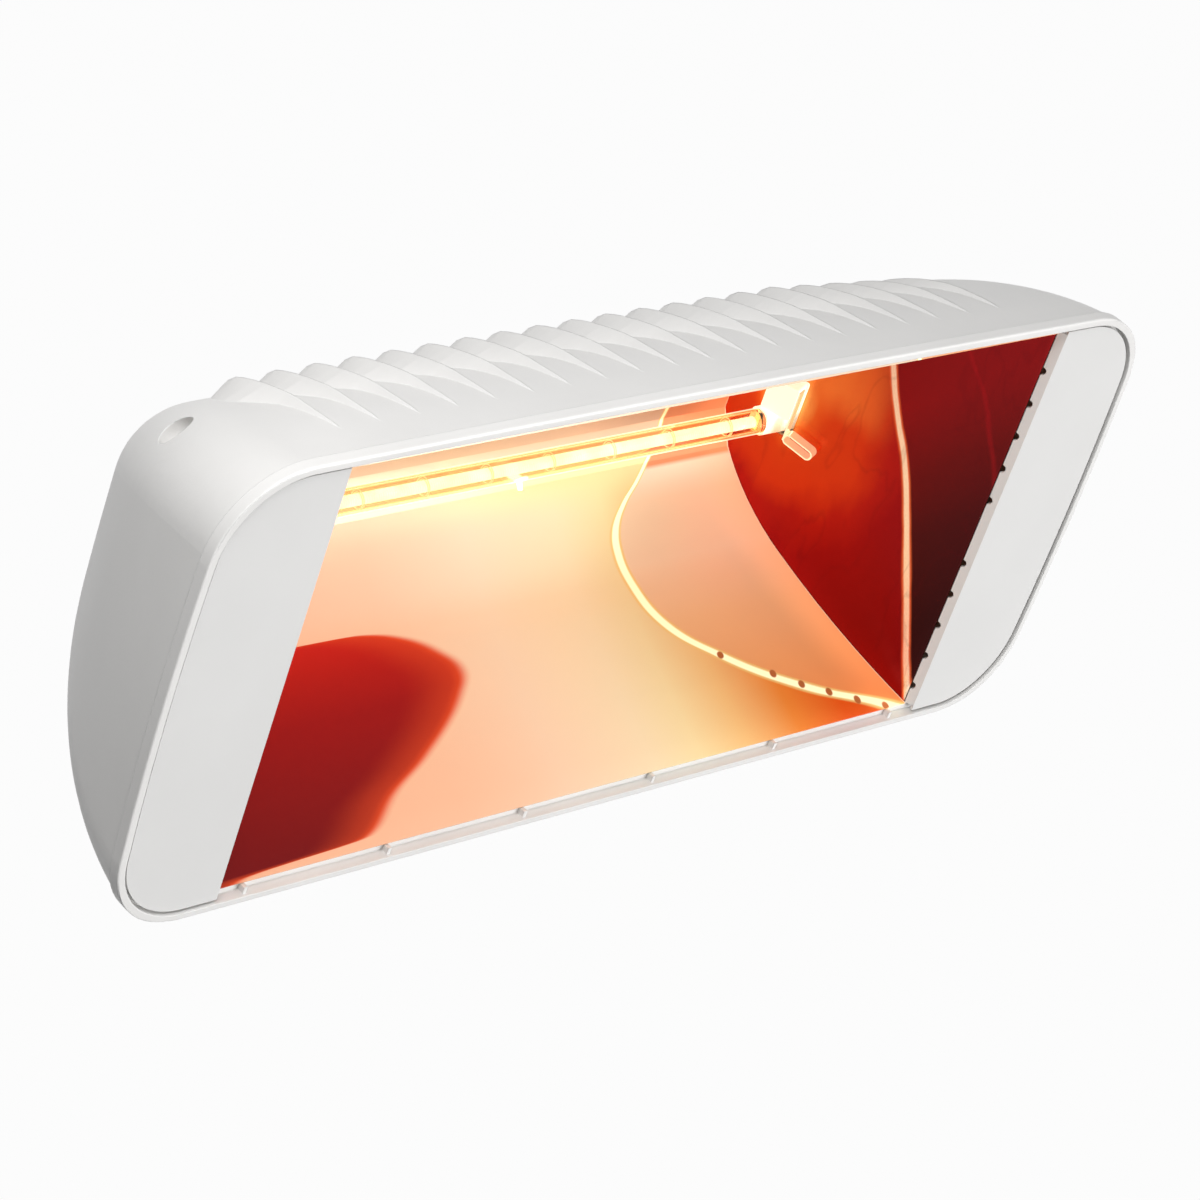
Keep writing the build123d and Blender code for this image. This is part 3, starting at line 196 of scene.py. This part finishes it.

# The painted dark shade at the trough's lower left, a dark reflection painted in: where its right-hand edge
# lies, with steps by the distance inwards from it
SHADE_EDGE = Line((0, 60), (-200, 0), (
    (0, -180), (7, -165), (8.4, -105), (14, -84), (19, -62), (28, -36), (32.4, -31), (37, -38),
    (41.6, -53), (44, -72), (46.5, -180), (60, -200),
))
SHADE_COLOURS = Band(5, 45, (
    (0.0, linear(108, 8, 12)), (0.6, linear(155, 11, 13)), (1.0, linear(198, 26, 14)),
))
SHADE_STEP = (-1, 8)
SHADE_RIM = linear(228, 78, 36)
SHADE_RIM_OUTER_STEP = (-4, 4)
SHADE_RIM_INNER_STEP = (32, 0)
SHADE_RIM_SHARE = 0.5

# The painted reflection of the rim, a bright line with painted notches and painted colours beyond it, with
# steps in its widths from its middle
RIM_IMAGE = Line((0, 100), (40, 200), (
    (0, 190), (6, 170), (14, 127), (23.3, 93.3), (33, 71.5), (42, 64.5), (50, 63), (56, 65), (62, 71),
    (70, 82), (78, 89), (100, 96),
))
RIM_IMAGE_WIDTHS = Line((0, 100), (0, 20), (
    (0, 14), (9, 11), (14, 9), (23, 6.5), (33, 5.5), (42, 5), (56, 4.5), (62, 3.5), (78, 2.4), (100, 2.4),
))
RIM_HALO = linear(255, 214, 130)
RIM_HALO_STEP = (0.75, 0.45)
RIM_WHITE = linear(255, 252, 225)
RIM_WHITE_STEP = (0.48, 0.25)
# Painted glow along the rim's painted line
RIM_LIGHT = linear(200, 180, 120)
RIM_NOTCHES = ((93.3, 23.3), (114.9, 17.5), (126.5, 14.4), (138.2, 11.9), (150.3, 9.4), (162.8, 7.2))
NOTCH_REACH = (2.0, 0.9)
NOTCH_COLOUR = linear(190, 110, 60)
FAR_SIDE_STEP = (-0.1, 0.1)
FAR_SIDE_COLOURS = Band(5, 100, (
    (0.0, linear(242, 136, 70)), (0.15, linear(250, 174, 112)), (0.28, linear(252, 196, 142)),
    (0.43, linear(252, 218, 180)), (0.6, linear(248, 216, 178)), (0.7, linear(244, 228, 200)),
    (0.715, linear(228, 150, 106)), (1.0, linear(238, 170, 125)),
))

# Painted highlight and painted glow where the trough meets the right-hand end mirror, with steps by the
# distance from that mirror's plane
SEAM_STEP = (1.1, 0.3)
SEAM_COLOUR = linear(255, 236, 205)
# Painted glow in the corner with the right-hand end mirror
CORNER_STEP = (26, 0)
CORNER_LIGHT = linear(250, 145, 88)
CORNER_SHARE = 0.35

# End mirror pattern of painted reflections and a painted glow around the lamp, and waves that bend its
# outlines
END_METAL = 0.85
WAVES = {"scale": 26, "detail": 4.0, "stretch": (1, 1, 0.35)}
WAVE_REACH = 9
# Centre of the painted glow around the lamp
LAMP_SEEN = (86, 106)  # in depth and in height
END_COLOURS = Band(0, 100, (
    (0.0, linear(250, 175, 95)), (0.1, linear(226, 96, 38)), (0.17, linear(210, 66, 25)),
    (0.34, linear(206, 58, 23)), (0.45, linear(172, 28, 22)), (0.6, linear(148, 16, 20)),
    (1.0, linear(130, 16, 20)),
))
END_GLOW_WAVE = 1.3
# Painted glow high and deep on the end mirror
TOP_GLOW = linear(246, 140, 66)
TOP_GLOW_DEPTH_STEP = (44, 70)
TOP_GLOW_HEIGHT_STEP = (103, 118)
TOP_GLOW_SHARE = 0.8

# In front of the painted reflection of the rim the end mirror is painted dark, with a painted bent line;
# steps by the distance behind the rim, or from either line
END_RIM_IMAGE = Line((0, 180), (0, 80), (
    (0, 1), (5.5, 3), (49, 18.1), (73.7, 25.8), (101.3, 36.1), (127, 48.7), (140, 54.4), (180, 70),
))
END_RIM_WAVE = 0.09
END_RIM_EDGE = linear(226, 105, 60)
END_RIM_EDGE_STEP = (2.4, 1.2)
END_RIM_WHITE = linear(255, 222, 190)
END_RIM_WHITE_STEP = (1.5, 0.7)
END_FRONT_STEP = (0.4, -0.4)
END_FRONT_SLANT = 1.2  # its colours run in height and, this much faster, in depth
END_FRONT_COLOURS = Band(40, 190, (
    (0.1, linear(53, 14, 13)), (0.43, linear(75, 18, 18)), (0.67, linear(106, 20, 20)),
    (0.92, linear(138, 22, 24)),
))
END_BEND = Line((80, 180), (-10, 50), (
    (80, -4), (100, 0), (120, 6.4), (130, 11.6), (145, 18.7), (157.5, 28.4), (180, 42),
))
END_BEND_STEP = (1.8, 0.2)
END_BEND_COLOUR = linear(175, 24, 30)
END_BEND_SHARE = 0.3
# Darker wavy lines across the painted reflections, along the waves' contours
WAVE_LINE_COUNT = 9
WAVE_LINE_PLACE = 0.5  # in each wave
WAVE_LINE_STEP = (0.09, 0.0)
WAVE_LINE_COLOUR = linear(90, 12, 18)
WAVE_LINE_SHARE = 0.15

NODES_BY_FINISH = {
    "cast_shell": ["housing"],
    "panel_paint": ["front_panel_left", "front_panel_right"],
    "trough_mirror": ["reflector_trough"],
    "end_mirror": ["end_reflector_left", "end_reflector_right"],
    "galvanised": ["end_bracket_left", "end_bracket_right"],
    "clip_steel": ["panel_clips"],
    "black_paint": ["wall_bracket"],
    "silicone": ["panel_gasket_left", "panel_gasket_right", "gland_seal"],
    "ceramic_white": ["lamp_cap_left", "lamp_cap_right", "lamp_holder_left", "lamp_holder_right"],
    "spring_steel": ["holder_spring_left", "holder_spring_right"],
    "fasteners": [
        "bracket_screws", "terminal_screws", "pole_screws", "pivot_bolts", "pivot_nuts", "lock_washers",
    ],
    "gland_plastic": ["gland_body", "gland_cap", "gland_locknut", "friction_washers"],
    "lead_sleeve": ["lamp_lead_left", "lamp_lead_right"],
    "terminal_ceramic": ["terminal_block"],
    "quartz": ["lamp_tube"],
}


# Camera
def make_camera():
    """The photograph's camera: its place, its line of sight and its roll."""
    data = bpy.data.cameras.new("camera")
    data.sensor_width = CAMERA_SENSOR
    data.lens = CAMERA_LENS
    camera = bpy.data.objects.new("camera", data)
    bpy.context.scene.collection.objects.link(camera)
    back = -CAMERA_AHEAD.normalized()
    right = (CAMERA_RIGHT - back * CAMERA_RIGHT.dot(back)).normalized()
    up = back.cross(right)
    turn = Matrix((right, up, back)).transposed()
    camera.matrix_world = Matrix.Translation(CAMERA_PLACE) @ turn.to_4x4()
    bpy.context.scene.camera = camera


# Material helpers
def new_material(name):
    """A material with its node tree and its Principled shader."""
    made = bpy.data.materials.new(name)
    made.use_nodes = True
    return made, made.node_tree, made.node_tree.nodes["Principled BSDF"]


def add(tree, kind, **values):
    """A node of a kind; a value goes to the input of that name, or else to the property."""
    node = tree.nodes.new("ShaderNode" + kind)
    for key, value in values.items():
        if key in node.inputs:
            node.inputs[key].default_value = value
        else:
            setattr(node, key, value)
    return node


def place(tree, stretch):
    """Object coordinates, scaled along each axis."""
    coordinates = add(tree, "TexCoord")
    mapping = add(tree, "Mapping", Scale=stretch)
    tree.links.new(coordinates.outputs["Object"], mapping.inputs["Vector"])
    return mapping.outputs["Vector"]


def noise(tree, scale, detail, stretch=(1, 1, 1)):
    """Noise in object space, about scale features a metre."""
    texture = add(tree, "TexNoise", Scale=scale, Detail=detail)
    tree.links.new(place(tree, stretch), texture.inputs["Vector"])
    return texture.outputs["Fac"]


def ramp(tree, factor, stops):
    """Colours along a factor: each stop is a place from 0 to 1 and a colour."""
    node = add(tree, "ValToRGB")
    band = node.color_ramp
    while len(band.elements) < len(stops):
        band.elements.new(0.5)
    for element, (at, colour) in zip(band.elements, stops):
        element.position = at
        element.color = (*colour, 1)
    tree.links.new(factor, node.inputs["Fac"])
    return node.outputs["Color"]


def spread(tree, factor, low, high, start=NOISE_RANGE[0], stop=NOISE_RANGE[1]):
    """A factor from start to stop brought to the range from low to high."""
    node = add(tree, "MapRange")
    node.inputs["From Min"].default_value = start
    node.inputs["From Max"].default_value = stop
    node.inputs["To Min"].default_value = low
    node.inputs["To Max"].default_value = high
    tree.links.new(factor, node.inputs["Value"])
    return node.outputs["Result"]


def drifting(tree, factor, colours):
    """A noise's colour, from the first to the second."""
    return ramp(tree, factor, tuple(zip(NOISE_RANGE, colours)))


def banded(tree, factor, band):
    """The colours of a band, along a factor in millimetres."""
    return ramp(tree, spread(tree, factor, 0, 1, band.start, band.stop), band.stops)


def maths(tree, operation, *values):
    """A Math node's result; each value is a number or another node's output."""
    node = add(tree, "Math", operation=operation)
    for socket, value in zip(node.inputs, values):
        if isinstance(value, bpy.types.NodeSocket):
            tree.links.new(value, socket)
        else:
            socket.default_value = value
    return node.outputs["Value"]


def product(tree, first, *others):
    """All values multiplied."""
    result = first
    for value in others:
        result = maths(tree, "MULTIPLY", result, value)
    return result


def distance(tree, value, other):
    """How far apart two values are."""
    return maths(tree, "ABSOLUTE", maths(tree, "SUBTRACT", value, other))


def smooth(tree, factor, start, stop):
    """0 up to start and 1 from stop on, with a soft step between them; start may be above stop."""
    node = add(tree, "MapRange", interpolation_type="SMOOTHSTEP")
    node.inputs["From Min"].default_value = start
    node.inputs["From Max"].default_value = stop
    tree.links.new(factor, node.inputs["Value"])
    return node.outputs["Result"]


def blend(tree, factor, first, second):
    """From a first colour to a second; each is a colour or another node's output."""
    node = add(tree, "Mix", data_type="RGBA")
    colours = [socket for socket in node.inputs if socket.type == "RGBA"]
    for socket, value in zip((node.inputs["Factor"], *colours), (factor, first, second)):
        if isinstance(value, bpy.types.NodeSocket):
            tree.links.new(value, socket)
        else:
            socket.default_value = value if socket.type == "VALUE" else (*value, 1)
    return next(output for output in node.outputs if output.type == "RGBA")


def millimetres(tree):
    """Where a point of the head lies: across, depth behind the rim and height above the lower edge."""
    coordinates = add(tree, "TexCoord")
    split = add(tree, "SeparateXYZ")
    tree.links.new(coordinates.outputs["Object"], split.inputs["Vector"])
    starts = (0, FRONT_PLACE, LOWER_PLACE)
    return [
        maths(tree, "MULTIPLY", maths(tree, "SUBTRACT", split.outputs[axis], start), MILLIMETRES)
        for axis, start in zip("XYZ", starts)
    ]


def traced(tree, height, line):
    """The place of a smooth line at a height."""
    def share(value, low, high):
        return (value - low) / (high - low)
    node = add(tree, "FloatCurve")
    curve = node.mapping.curves[0]
    places = [(share(a, *line.heights), share(b, *line.places)) for a, b in line.points]
    curve.points[0].location = places[0]
    curve.points[1].location = places[-1]
    for at in places[1:-1]:
        curve.points.new(*at)
    node.mapping.update()
    tree.links.new(spread(tree, height, 0, 1, *line.heights), node.inputs["Value"])
    return spread(tree, node.outputs["Value"], *line.places, 0, 1)


def spot(tree, values, centre, reach):
    """1 at a centre and 0 from an elliptical reach on."""
    squares = []
    for value, middle, size in zip(values, centre, reach):
        share = maths(tree, "DIVIDE", maths(tree, "SUBTRACT", value, middle), size)
        squares.append(maths(tree, "POWER", share, 2))
    return smooth(tree, maths(tree, "ADD", *squares), *SPOT_STEP)


def shaded(name):
    """A finish whose colour and roughness drift, with a fine grain in relief."""
    finish = FINISHES[name]
    made, tree, shader = new_material(name)
    drift = noise(tree, finish.drift, DRIFT_DETAIL)
    tree.links.new(drifting(tree, drift, (finish.dark, finish.light)), shader.inputs["Base Color"])
    tree.links.new(spread(tree, drift, *finish.rough), shader.inputs["Roughness"])
    bump = add(tree, "Bump", Strength=1.0, Distance=finish.relief)
    tree.links.new(noise(tree, finish.grain, GRAIN_DETAIL), bump.inputs["Height"])
    tree.links.new(bump.outputs["Normal"], shader.inputs["Normal"])
    shader.inputs["Metallic"].default_value = finish.metal
    return made, tree, shader


def mirrored(tree, shader, body, grain, metal):
    """The surface of a brushed gold-toned mirror with painted reflections."""
    tree.links.new(body, shader.inputs["Base Color"])
    tree.links.new(spread(tree, grain, *MIRROR_ROUGHNESS), shader.inputs["Roughness"])
    shader.inputs["Metallic"].default_value = metal
    shader.inputs["Specular IOR Level"].default_value = MIRROR_SHEEN


def glowing(name, dim, bright, strength):
    """A hot surface that gives light, with hotter and cooler stretches."""
    made, tree, shader = new_material(name)
    heat = noise(tree, HEAT_SCALE, HEAT_DETAIL)
    tree.links.new(drifting(tree, heat, (dim, bright)), shader.inputs["Emission Color"])
    shader.inputs["Base Color"].default_value = COLD_WIRE
    shader.inputs["Emission Strength"].default_value = strength
    return made


# Materials
def cast_shell():
    """Warm white powder coat with its fine orange-peel, and a painted highlight in a paler colour along
    rounded edges.
    """
    made, tree, shader = shaded("cast_shell")
    rounded = add(tree, "Bevel", samples=CAST_EDGE_SAMPLES, Radius=CAST_EDGE)
    tree.links.new(rounded.outputs["Normal"], tree.nodes["Bump"].inputs["Normal"])
    flat = add(tree, "NewGeometry")
    same = add(tree, "VectorMath", operation="DOT_PRODUCT")
    tree.links.new(rounded.outputs["Normal"], same.inputs[0])
    tree.links.new(flat.outputs["Normal"], same.inputs[1])
    # The rounded normals shade the edges, and a paler colour is painted there as a highlight
    edge = smooth(tree, same.outputs["Value"], *CAST_EDGE_STEP)
    body = shader.inputs["Base Color"].links[0].from_socket
    tree.links.new(blend(tree, edge, body, CAST_EDGE_HIGHLIGHT), shader.inputs["Base Color"])
    return made


def trough_mirror():
    """Gold-toned mirror of the trough with painted reflections and glow: peach, painted lamp light in yellow
    below the lamp, the reflected end and a dark shade.
    """
    made, tree, shader = new_material("trough_mirror")
    across, depth, height = millimetres(tree)

    # Painted reflections of the studio in peach and pink, and painted lamp light in yellow below the lamp
    body = banded(tree, across, TROUGH_COLOURS)
    low = smooth(tree, height, *PINK_HEIGHT_STEP)
    left = smooth(tree, across, *PINK_ACROSS_STEP)
    body = blend(tree, product(tree, low, left, PINK_SHARE), body, PINK)
    near_lamp = smooth(tree, height, *YELLOW_HEIGHT_STEP)
    right = smooth(tree, across, *YELLOW_ACROSS_STEP)
    body = blend(tree, product(tree, near_lamp, right), body, YELLOW)
    body = blend(tree, smooth(tree, height, *BEHIND_LAMP_STEP), body, BEHIND_LAMP)

    # Painted dark reflection at the lower left, with a painted orange rim
    inwards = maths(tree, "SUBTRACT", traced(tree, height, SHADE_EDGE), across)
    body = blend(tree, smooth(tree, inwards, *SHADE_RIM_OUTER_STEP), body, SHADE_RIM)
    near_rim = product(tree, smooth(tree, inwards, *SHADE_RIM_INNER_STEP), SHADE_RIM_SHARE)
    shade = blend(tree, near_rim, banded(tree, height, SHADE_COLOURS), SHADE_RIM)
    body = blend(tree, smooth(tree, inwards, *SHADE_STEP), body, shade)

    # Painted reflection of the rim: a white line with a halo, its notches, and painted colours on its far
    # side
    offset = maths(tree, "SUBTRACT", across, traced(tree, height, RIM_IMAGE))
    offset = maths(tree, "DIVIDE", offset, traced(tree, height, RIM_IMAGE_WIDTHS))
    from_middle = maths(tree, "ABSOLUTE", offset)
    far_side = banded(tree, height, FAR_SIDE_COLOURS)
    body = blend(tree, smooth(tree, offset, *FAR_SIDE_STEP), body, far_side)
    body = blend(tree, smooth(tree, from_middle, *RIM_HALO_STEP), body, RIM_HALO)
    core = smooth(tree, from_middle, *RIM_WHITE_STEP)
    body = blend(tree, core, body, RIM_WHITE)
    for centre in RIM_NOTCHES:
        notch = spot(tree, (across, height), centre, NOTCH_REACH)
        core = product(tree, core, maths(tree, "SUBTRACT", 1, notch))
        body = blend(tree, notch, body, NOTCH_COLOUR)

    # Painted highlight along the seam with the right-hand end mirror
    end_plane = maths(tree, "MULTIPLY_ADD", depth, -END_SPLAY, END_FOOT)
    from_end = maths(tree, "SUBTRACT", end_plane, across)
    body = blend(tree, smooth(tree, from_end, *SEAM_STEP), body, SEAM_COLOUR)
    mirrored(tree, shader, body, noise(tree, **TROUGH_STREAKS), TROUGH_METAL)

    # Painted glow: the trough gives off a share of its painted colour as light, more in the corner and along
    # the rim's line
    glow = blend(tree, TROUGH_GLOW, BLACK, body)
    corner = product(tree, smooth(tree, from_end, *CORNER_STEP), CORNER_SHARE)
    glow = blend(tree, corner, glow, CORNER_LIGHT)
    glow = blend(tree, core, glow, RIM_LIGHT)
    tree.links.new(glow, shader.inputs["Emission Color"])
    shader.inputs["Emission Strength"].default_value = 1.0
    return made


def end_mirror():
    """The same mirror at the ends, its reflections and glow painted: orange beside the lamp, deep red away
    from it, with the painted reflection of the rim.
    """
    made, tree, shader = new_material("end_mirror")
    depth, height = millimetres(tree)[1:]
    wave = noise(tree, **WAVES)
    wobble = spread(tree, wave, -WAVE_REACH, WAVE_REACH)

    # Painted glow around the lamp, fading to deep red away from it
    squares = []
    for value, middle in zip((depth, height), LAMP_SEEN):
        squares.append(maths(tree, "POWER", maths(tree, "SUBTRACT", value, middle), 2))
    away = maths(tree, "SQRT", maths(tree, "ADD", *squares))
    away = maths(tree, "ADD", away, product(tree, wobble, END_GLOW_WAVE))
    body = banded(tree, away, END_COLOURS)
    deep = smooth(tree, maths(tree, "ADD", depth, wobble), *TOP_GLOW_DEPTH_STEP)
    high = smooth(tree, maths(tree, "ADD", height, wobble), *TOP_GLOW_HEIGHT_STEP)
    body = blend(tree, product(tree, deep, high, TOP_GLOW_SHARE), body, TOP_GLOW)

    front = banded(tree, maths(tree, "MULTIPLY_ADD", depth, END_FRONT_SLANT, height), END_FRONT_COLOURS)
    bend = smooth(tree, distance(tree, depth, traced(tree, height, END_BEND)), *END_BEND_STEP)
    front = blend(tree, product(tree, bend, END_BEND_SHARE), front, END_BEND_COLOUR)

    rim = maths(tree, "ADD", traced(tree, height, END_RIM_IMAGE), product(tree, wobble, END_RIM_WAVE))
    behind = maths(tree, "SUBTRACT", depth, rim)
    from_middle = maths(tree, "ABSOLUTE", behind)
    body = blend(tree, smooth(tree, behind, *END_FRONT_STEP), body, front)
    body = blend(tree, smooth(tree, from_middle, *END_RIM_EDGE_STEP), body, END_RIM_EDGE)
    body = blend(tree, smooth(tree, from_middle, *END_RIM_WHITE_STEP), body, END_RIM_WHITE)

    contour = maths(tree, "FRACT", product(tree, wave, WAVE_LINE_COUNT))
    wave_line = smooth(tree, distance(tree, contour, WAVE_LINE_PLACE), *WAVE_LINE_STEP)
    body = blend(tree, product(tree, wave_line, WAVE_LINE_SHARE), body, WAVE_LINE_COLOUR)
    mirrored(tree, shader, body, wave, END_METAL)
    return made


def ceramic_white():
    """White ceramic with a painted glow, orange lower down and white higher up, as if the lamp shone through
    it a little.
    """
    made, tree, shader = shaded("ceramic_white")
    height = millimetres(tree)[2]
    tree.links.new(banded(tree, height, CERAMIC_LIGHT), shader.inputs["Emission Color"])
    shader.inputs["Emission Strength"].default_value = CERAMIC_GLOW
    return made


def spring_steel():
    """Bright spring strip with a painted glow of the lamp's light."""
    made, tree, shader = shaded("spring_steel")
    shader.inputs["Emission Color"].default_value = SPRING_LIGHT
    shader.inputs["Emission Strength"].default_value = SPRING_GLOW
    return made


def quartz():
    """Clear quartz with painted light: its walls glow where they are seen edge on, and its nipple glows."""
    made, tree, shader = new_material("quartz")
    # Painted highlight along the walls seen edge on, and a painted glint on the nipple
    edge = add(tree, "LayerWeight", Blend=QUARTZ_EDGE_BLEND)
    lit = ramp(tree, edge.outputs["Facing"], QUARTZ_EDGE_LIGHT)
    across, _, height = millimetres(tree)
    nipple = spot(tree, (across, height), NIPPLE_PLACE, NIPPLE_REACH)
    tree.links.new(blend(tree, nipple, lit, NIPPLE_LIGHT), shader.inputs["Emission Color"])
    shader.inputs["Emission Strength"].default_value = QUARTZ_GLOW
    drift = noise(tree, **QUARTZ_DRIFT)
    tree.links.new(drifting(tree, drift, QUARTZ_TINTS), shader.inputs["Base Color"])
    tree.links.new(spread(tree, drift, *QUARTZ_ROUGHNESS), shader.inputs["Roughness"])
    shader.inputs["Transmission Weight"].default_value = 1.0
    shader.inputs["IOR"].default_value = QUARTZ_INDEX
    return made


# Finishes that are more than their two colours and grain
SPECIAL_FINISHES = {
    "cast_shell": cast_shell,
    "trough_mirror": trough_mirror,
    "end_mirror": end_mirror,
    "ceramic_white": ceramic_white,
    "spring_steel": spring_steel,
    "quartz": quartz,
}


def finish_nodes():
    """Each CAD node's material."""
    for finish, names in NODES_BY_FINISH.items():
        made = SPECIAL_FINISHES[finish]() if finish in SPECIAL_FINISHES else shaded(finish)[0]
        for name in names:
            slots = nodes[name].data.materials
            slots.clear()
            slots.append(made)


# Lamp
def make_wire(name, routes, radius, material):
    """Round wire along one or more routes of points."""
    curve = bpy.data.curves.new(name, "CURVE")
    curve.dimensions = "3D"
    curve.bevel_depth = radius
    curve.bevel_resolution = WIRE_ROUNDNESS
    for route in routes:
        line = curve.splines.new("POLY")
        line.points.add(len(route) - 1)
        for point, at in zip(line.points, route):
            point.co = (*at, 1)
    wire = bpy.data.objects.new(name, curve)
    bpy.context.scene.collection.objects.link(wire)
    curve.materials.append(material)
    return wire


def make_filament():
    """The wound coil in its real fine pitch, from one end of the CAD coil to the other."""
    low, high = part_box("filament")
    centre = (low + high) / 2
    radius = (high.z - low.z) / 2 * COIL_SWELL
    steps = round((high.x - low.x) / COIL_PITCH) * COIL_STEPS
    route = []
    for step in range(steps + 1):
        angle = 2 * pi * step / COIL_STEPS
        across = low.x + COIL_WIRE + (high.x - low.x - 2 * COIL_WIRE) * step / steps
        route.append((across, centre.y + radius * cos(angle), centre.z + radius * sin(angle)))
    hot = glowing("coil_glow", COIL_DIM, COIL_BRIGHT, COIL_GLOW)
    coil = make_wire("filament_coil", [route], COIL_WIRE, hot)
    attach(coil, "head")
    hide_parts("filament")


def make_supports():
    """The wire loops that centre the coil: each spirals out from the coil to the tube's wall."""
    low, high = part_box("filament_supports")
    coil_low, coil_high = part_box("filament")
    centre = (low + high) / 2
    inner = (coil_high.z - coil_low.z) / 2 * COIL_SWELL + COIL_WIRE + SUPPORT_WIRE
    outer = (high.z - low.z) / 2 - SUPPORT_WIRE
    pitch = (high.x - low.x - SUPPORT_SHEET) / (SUPPORT_COUNT - 1)
    routes = []
    for number in range(SUPPORT_COUNT):
        middle = low.x + SUPPORT_SHEET / 2 + pitch * number
        route = []
        for step in range(SUPPORT_STEPS + 1):
            share = step / SUPPORT_STEPS
            angle = 2 * pi * SUPPORT_TURNS * share
            radius = min(outer, inner + (outer - inner) * share * SUPPORT_TURNS / (SUPPORT_TURNS - 1))
            across = middle + SUPPORT_WOUND * (share - 0.5)
            route.append((across, centre.y + radius * cos(angle), centre.z + radius * sin(angle)))
        routes.append(route)
    hot = glowing("support_glow", SUPPORT_DIM, SUPPORT_BRIGHT, SUPPORT_GLOW)
    loops = make_wire("support_loops", routes, SUPPORT_WIRE, hot)
    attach(loops, "head")
    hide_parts("filament_supports")


# End mirrors' front lips
def make_lip(side, sign):
    """The folded front lip of an end mirror, which reaches the panel's flange."""
    low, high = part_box("end_reflector_" + side)
    profile = [
        (END_FOOT - END_SPLAY * LIP_BACK, LIP_BACK),
        (END_FOOT - END_SPLAY * LIP_FRONT, LIP_FRONT),
        (LIP_EDGE_ACROSS, LIP_EDGE_DEPTH),
    ]
    form = bmesh.new()
    rows = []
    for step in range(LIP_STEPS + 1):
        height = low.z + LIP_INSET + (high.z - low.z - 2 * LIP_INSET) * step / LIP_STEPS
        row = []
        for across, depth in profile:
            at = (sign * across / MILLIMETRES, FRONT_PLACE + depth / MILLIMETRES, height)
            row.append(form.verts.new(at))
        rows.append(row)
    for lower, upper in zip(rows, rows[1:]):
        for back in range(len(profile) - 1):
            corners = (lower[back], lower[back + 1], upper[back + 1], upper[back])
            form.faces.new(corners if sign < 0 else corners[::-1])
    mesh = bpy.data.meshes.new("mirror_lip_" + side)
    form.to_mesh(mesh)
    form.free()
    lip = bpy.data.objects.new("mirror_lip_" + side, mesh)
    bpy.context.scene.collection.objects.link(lip)
    thick = lip.modifiers.new("sheet", "SOLIDIFY")
    thick.thickness = LIP_SHEET
    thick.offset = 0
    mesh.materials.append(nodes["end_reflector_" + side].data.materials[0])
    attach(lip, "head")


# Studio
def shown_white(tree):
    """1 for what the camera sees, also in mirrors and through glass, and 0 for light."""
    rays = add(tree, "LightPath")
    seen = maths(tree, "MAXIMUM", rays.outputs["Is Camera Ray"], rays.outputs["Is Glossy Ray"])
    return maths(tree, "MAXIMUM", seen, rays.outputs["Is Transmission Ray"])


def make_floor():
    """A pale floor that stays white to the camera and in mirrors, and keeps shadows."""
    made, tree, shader = new_material("studio_floor")
    shader.inputs["Base Color"].default_value = (FLOOR_PALE, FLOOR_PALE, FLOOR_PALE, 1)
    shader.inputs["Roughness"].default_value = FLOOR_ROUGHNESS
    white = add(tree, "Emission", Color=(1, 1, 1, 1), Strength=1.0)
    mix = add(tree, "MixShader")
    tree.links.new(product(tree, shown_white(tree), FLOOR_WHITE), mix.inputs["Fac"])
    tree.links.new(shader.outputs["BSDF"], mix.inputs[1])
    tree.links.new(white.outputs["Emission"], mix.inputs[2])
    tree.links.new(mix.outputs["Shader"], tree.nodes["Material Output"].inputs["Surface"])

    mesh = bpy.data.meshes.new("studio_floor")
    form = bmesh.new()
    bmesh.ops.create_grid(form, x_segments=FLOOR_CELLS, y_segments=FLOOR_CELLS, size=FLOOR_SIZE)
    form.to_mesh(mesh)
    form.free()
    mesh.materials.append(made)
    floor = bpy.data.objects.new("studio_floor", mesh)
    bpy.context.scene.collection.objects.link(floor)
    floor.location = (0, 0, -FLOOR_BELOW)


def make_world():
    """White to the camera and in mirrors, a softer grey as light."""
    world = bpy.data.worlds.new("studio")
    bpy.context.scene.world = world
    world.use_nodes = True
    tree = world.node_tree
    background = tree.nodes["Background"]
    background.inputs["Color"].default_value = (1, 1, 1, 1)
    strength = spread(tree, shown_white(tree), WORLD_LIGHT, 1.0, 0, 1)
    tree.links.new(strength, background.inputs["Strength"])


def make_lights():
    """Soft square lamps that face the head."""
    for name, light in LIGHTS.items():
        data = bpy.data.lights.new(name, "AREA")
        data.size = light.size
        data.energy = light.power
        lamp = bpy.data.objects.new(name, data)
        lamp.location = light.start
        lamp.rotation_euler = (LIGHT_AIM - Vector(light.start)).to_track_quat("-Z", "Y").to_euler()
        bpy.context.scene.collection.objects.link(lamp)


make_camera()
finish_nodes()
make_filament()
make_supports()
make_lip("left", -1)
make_lip("right", 1)
make_floor()
make_world()
make_lights()
bpy.context.scene.view_settings.view_transform = "Standard"
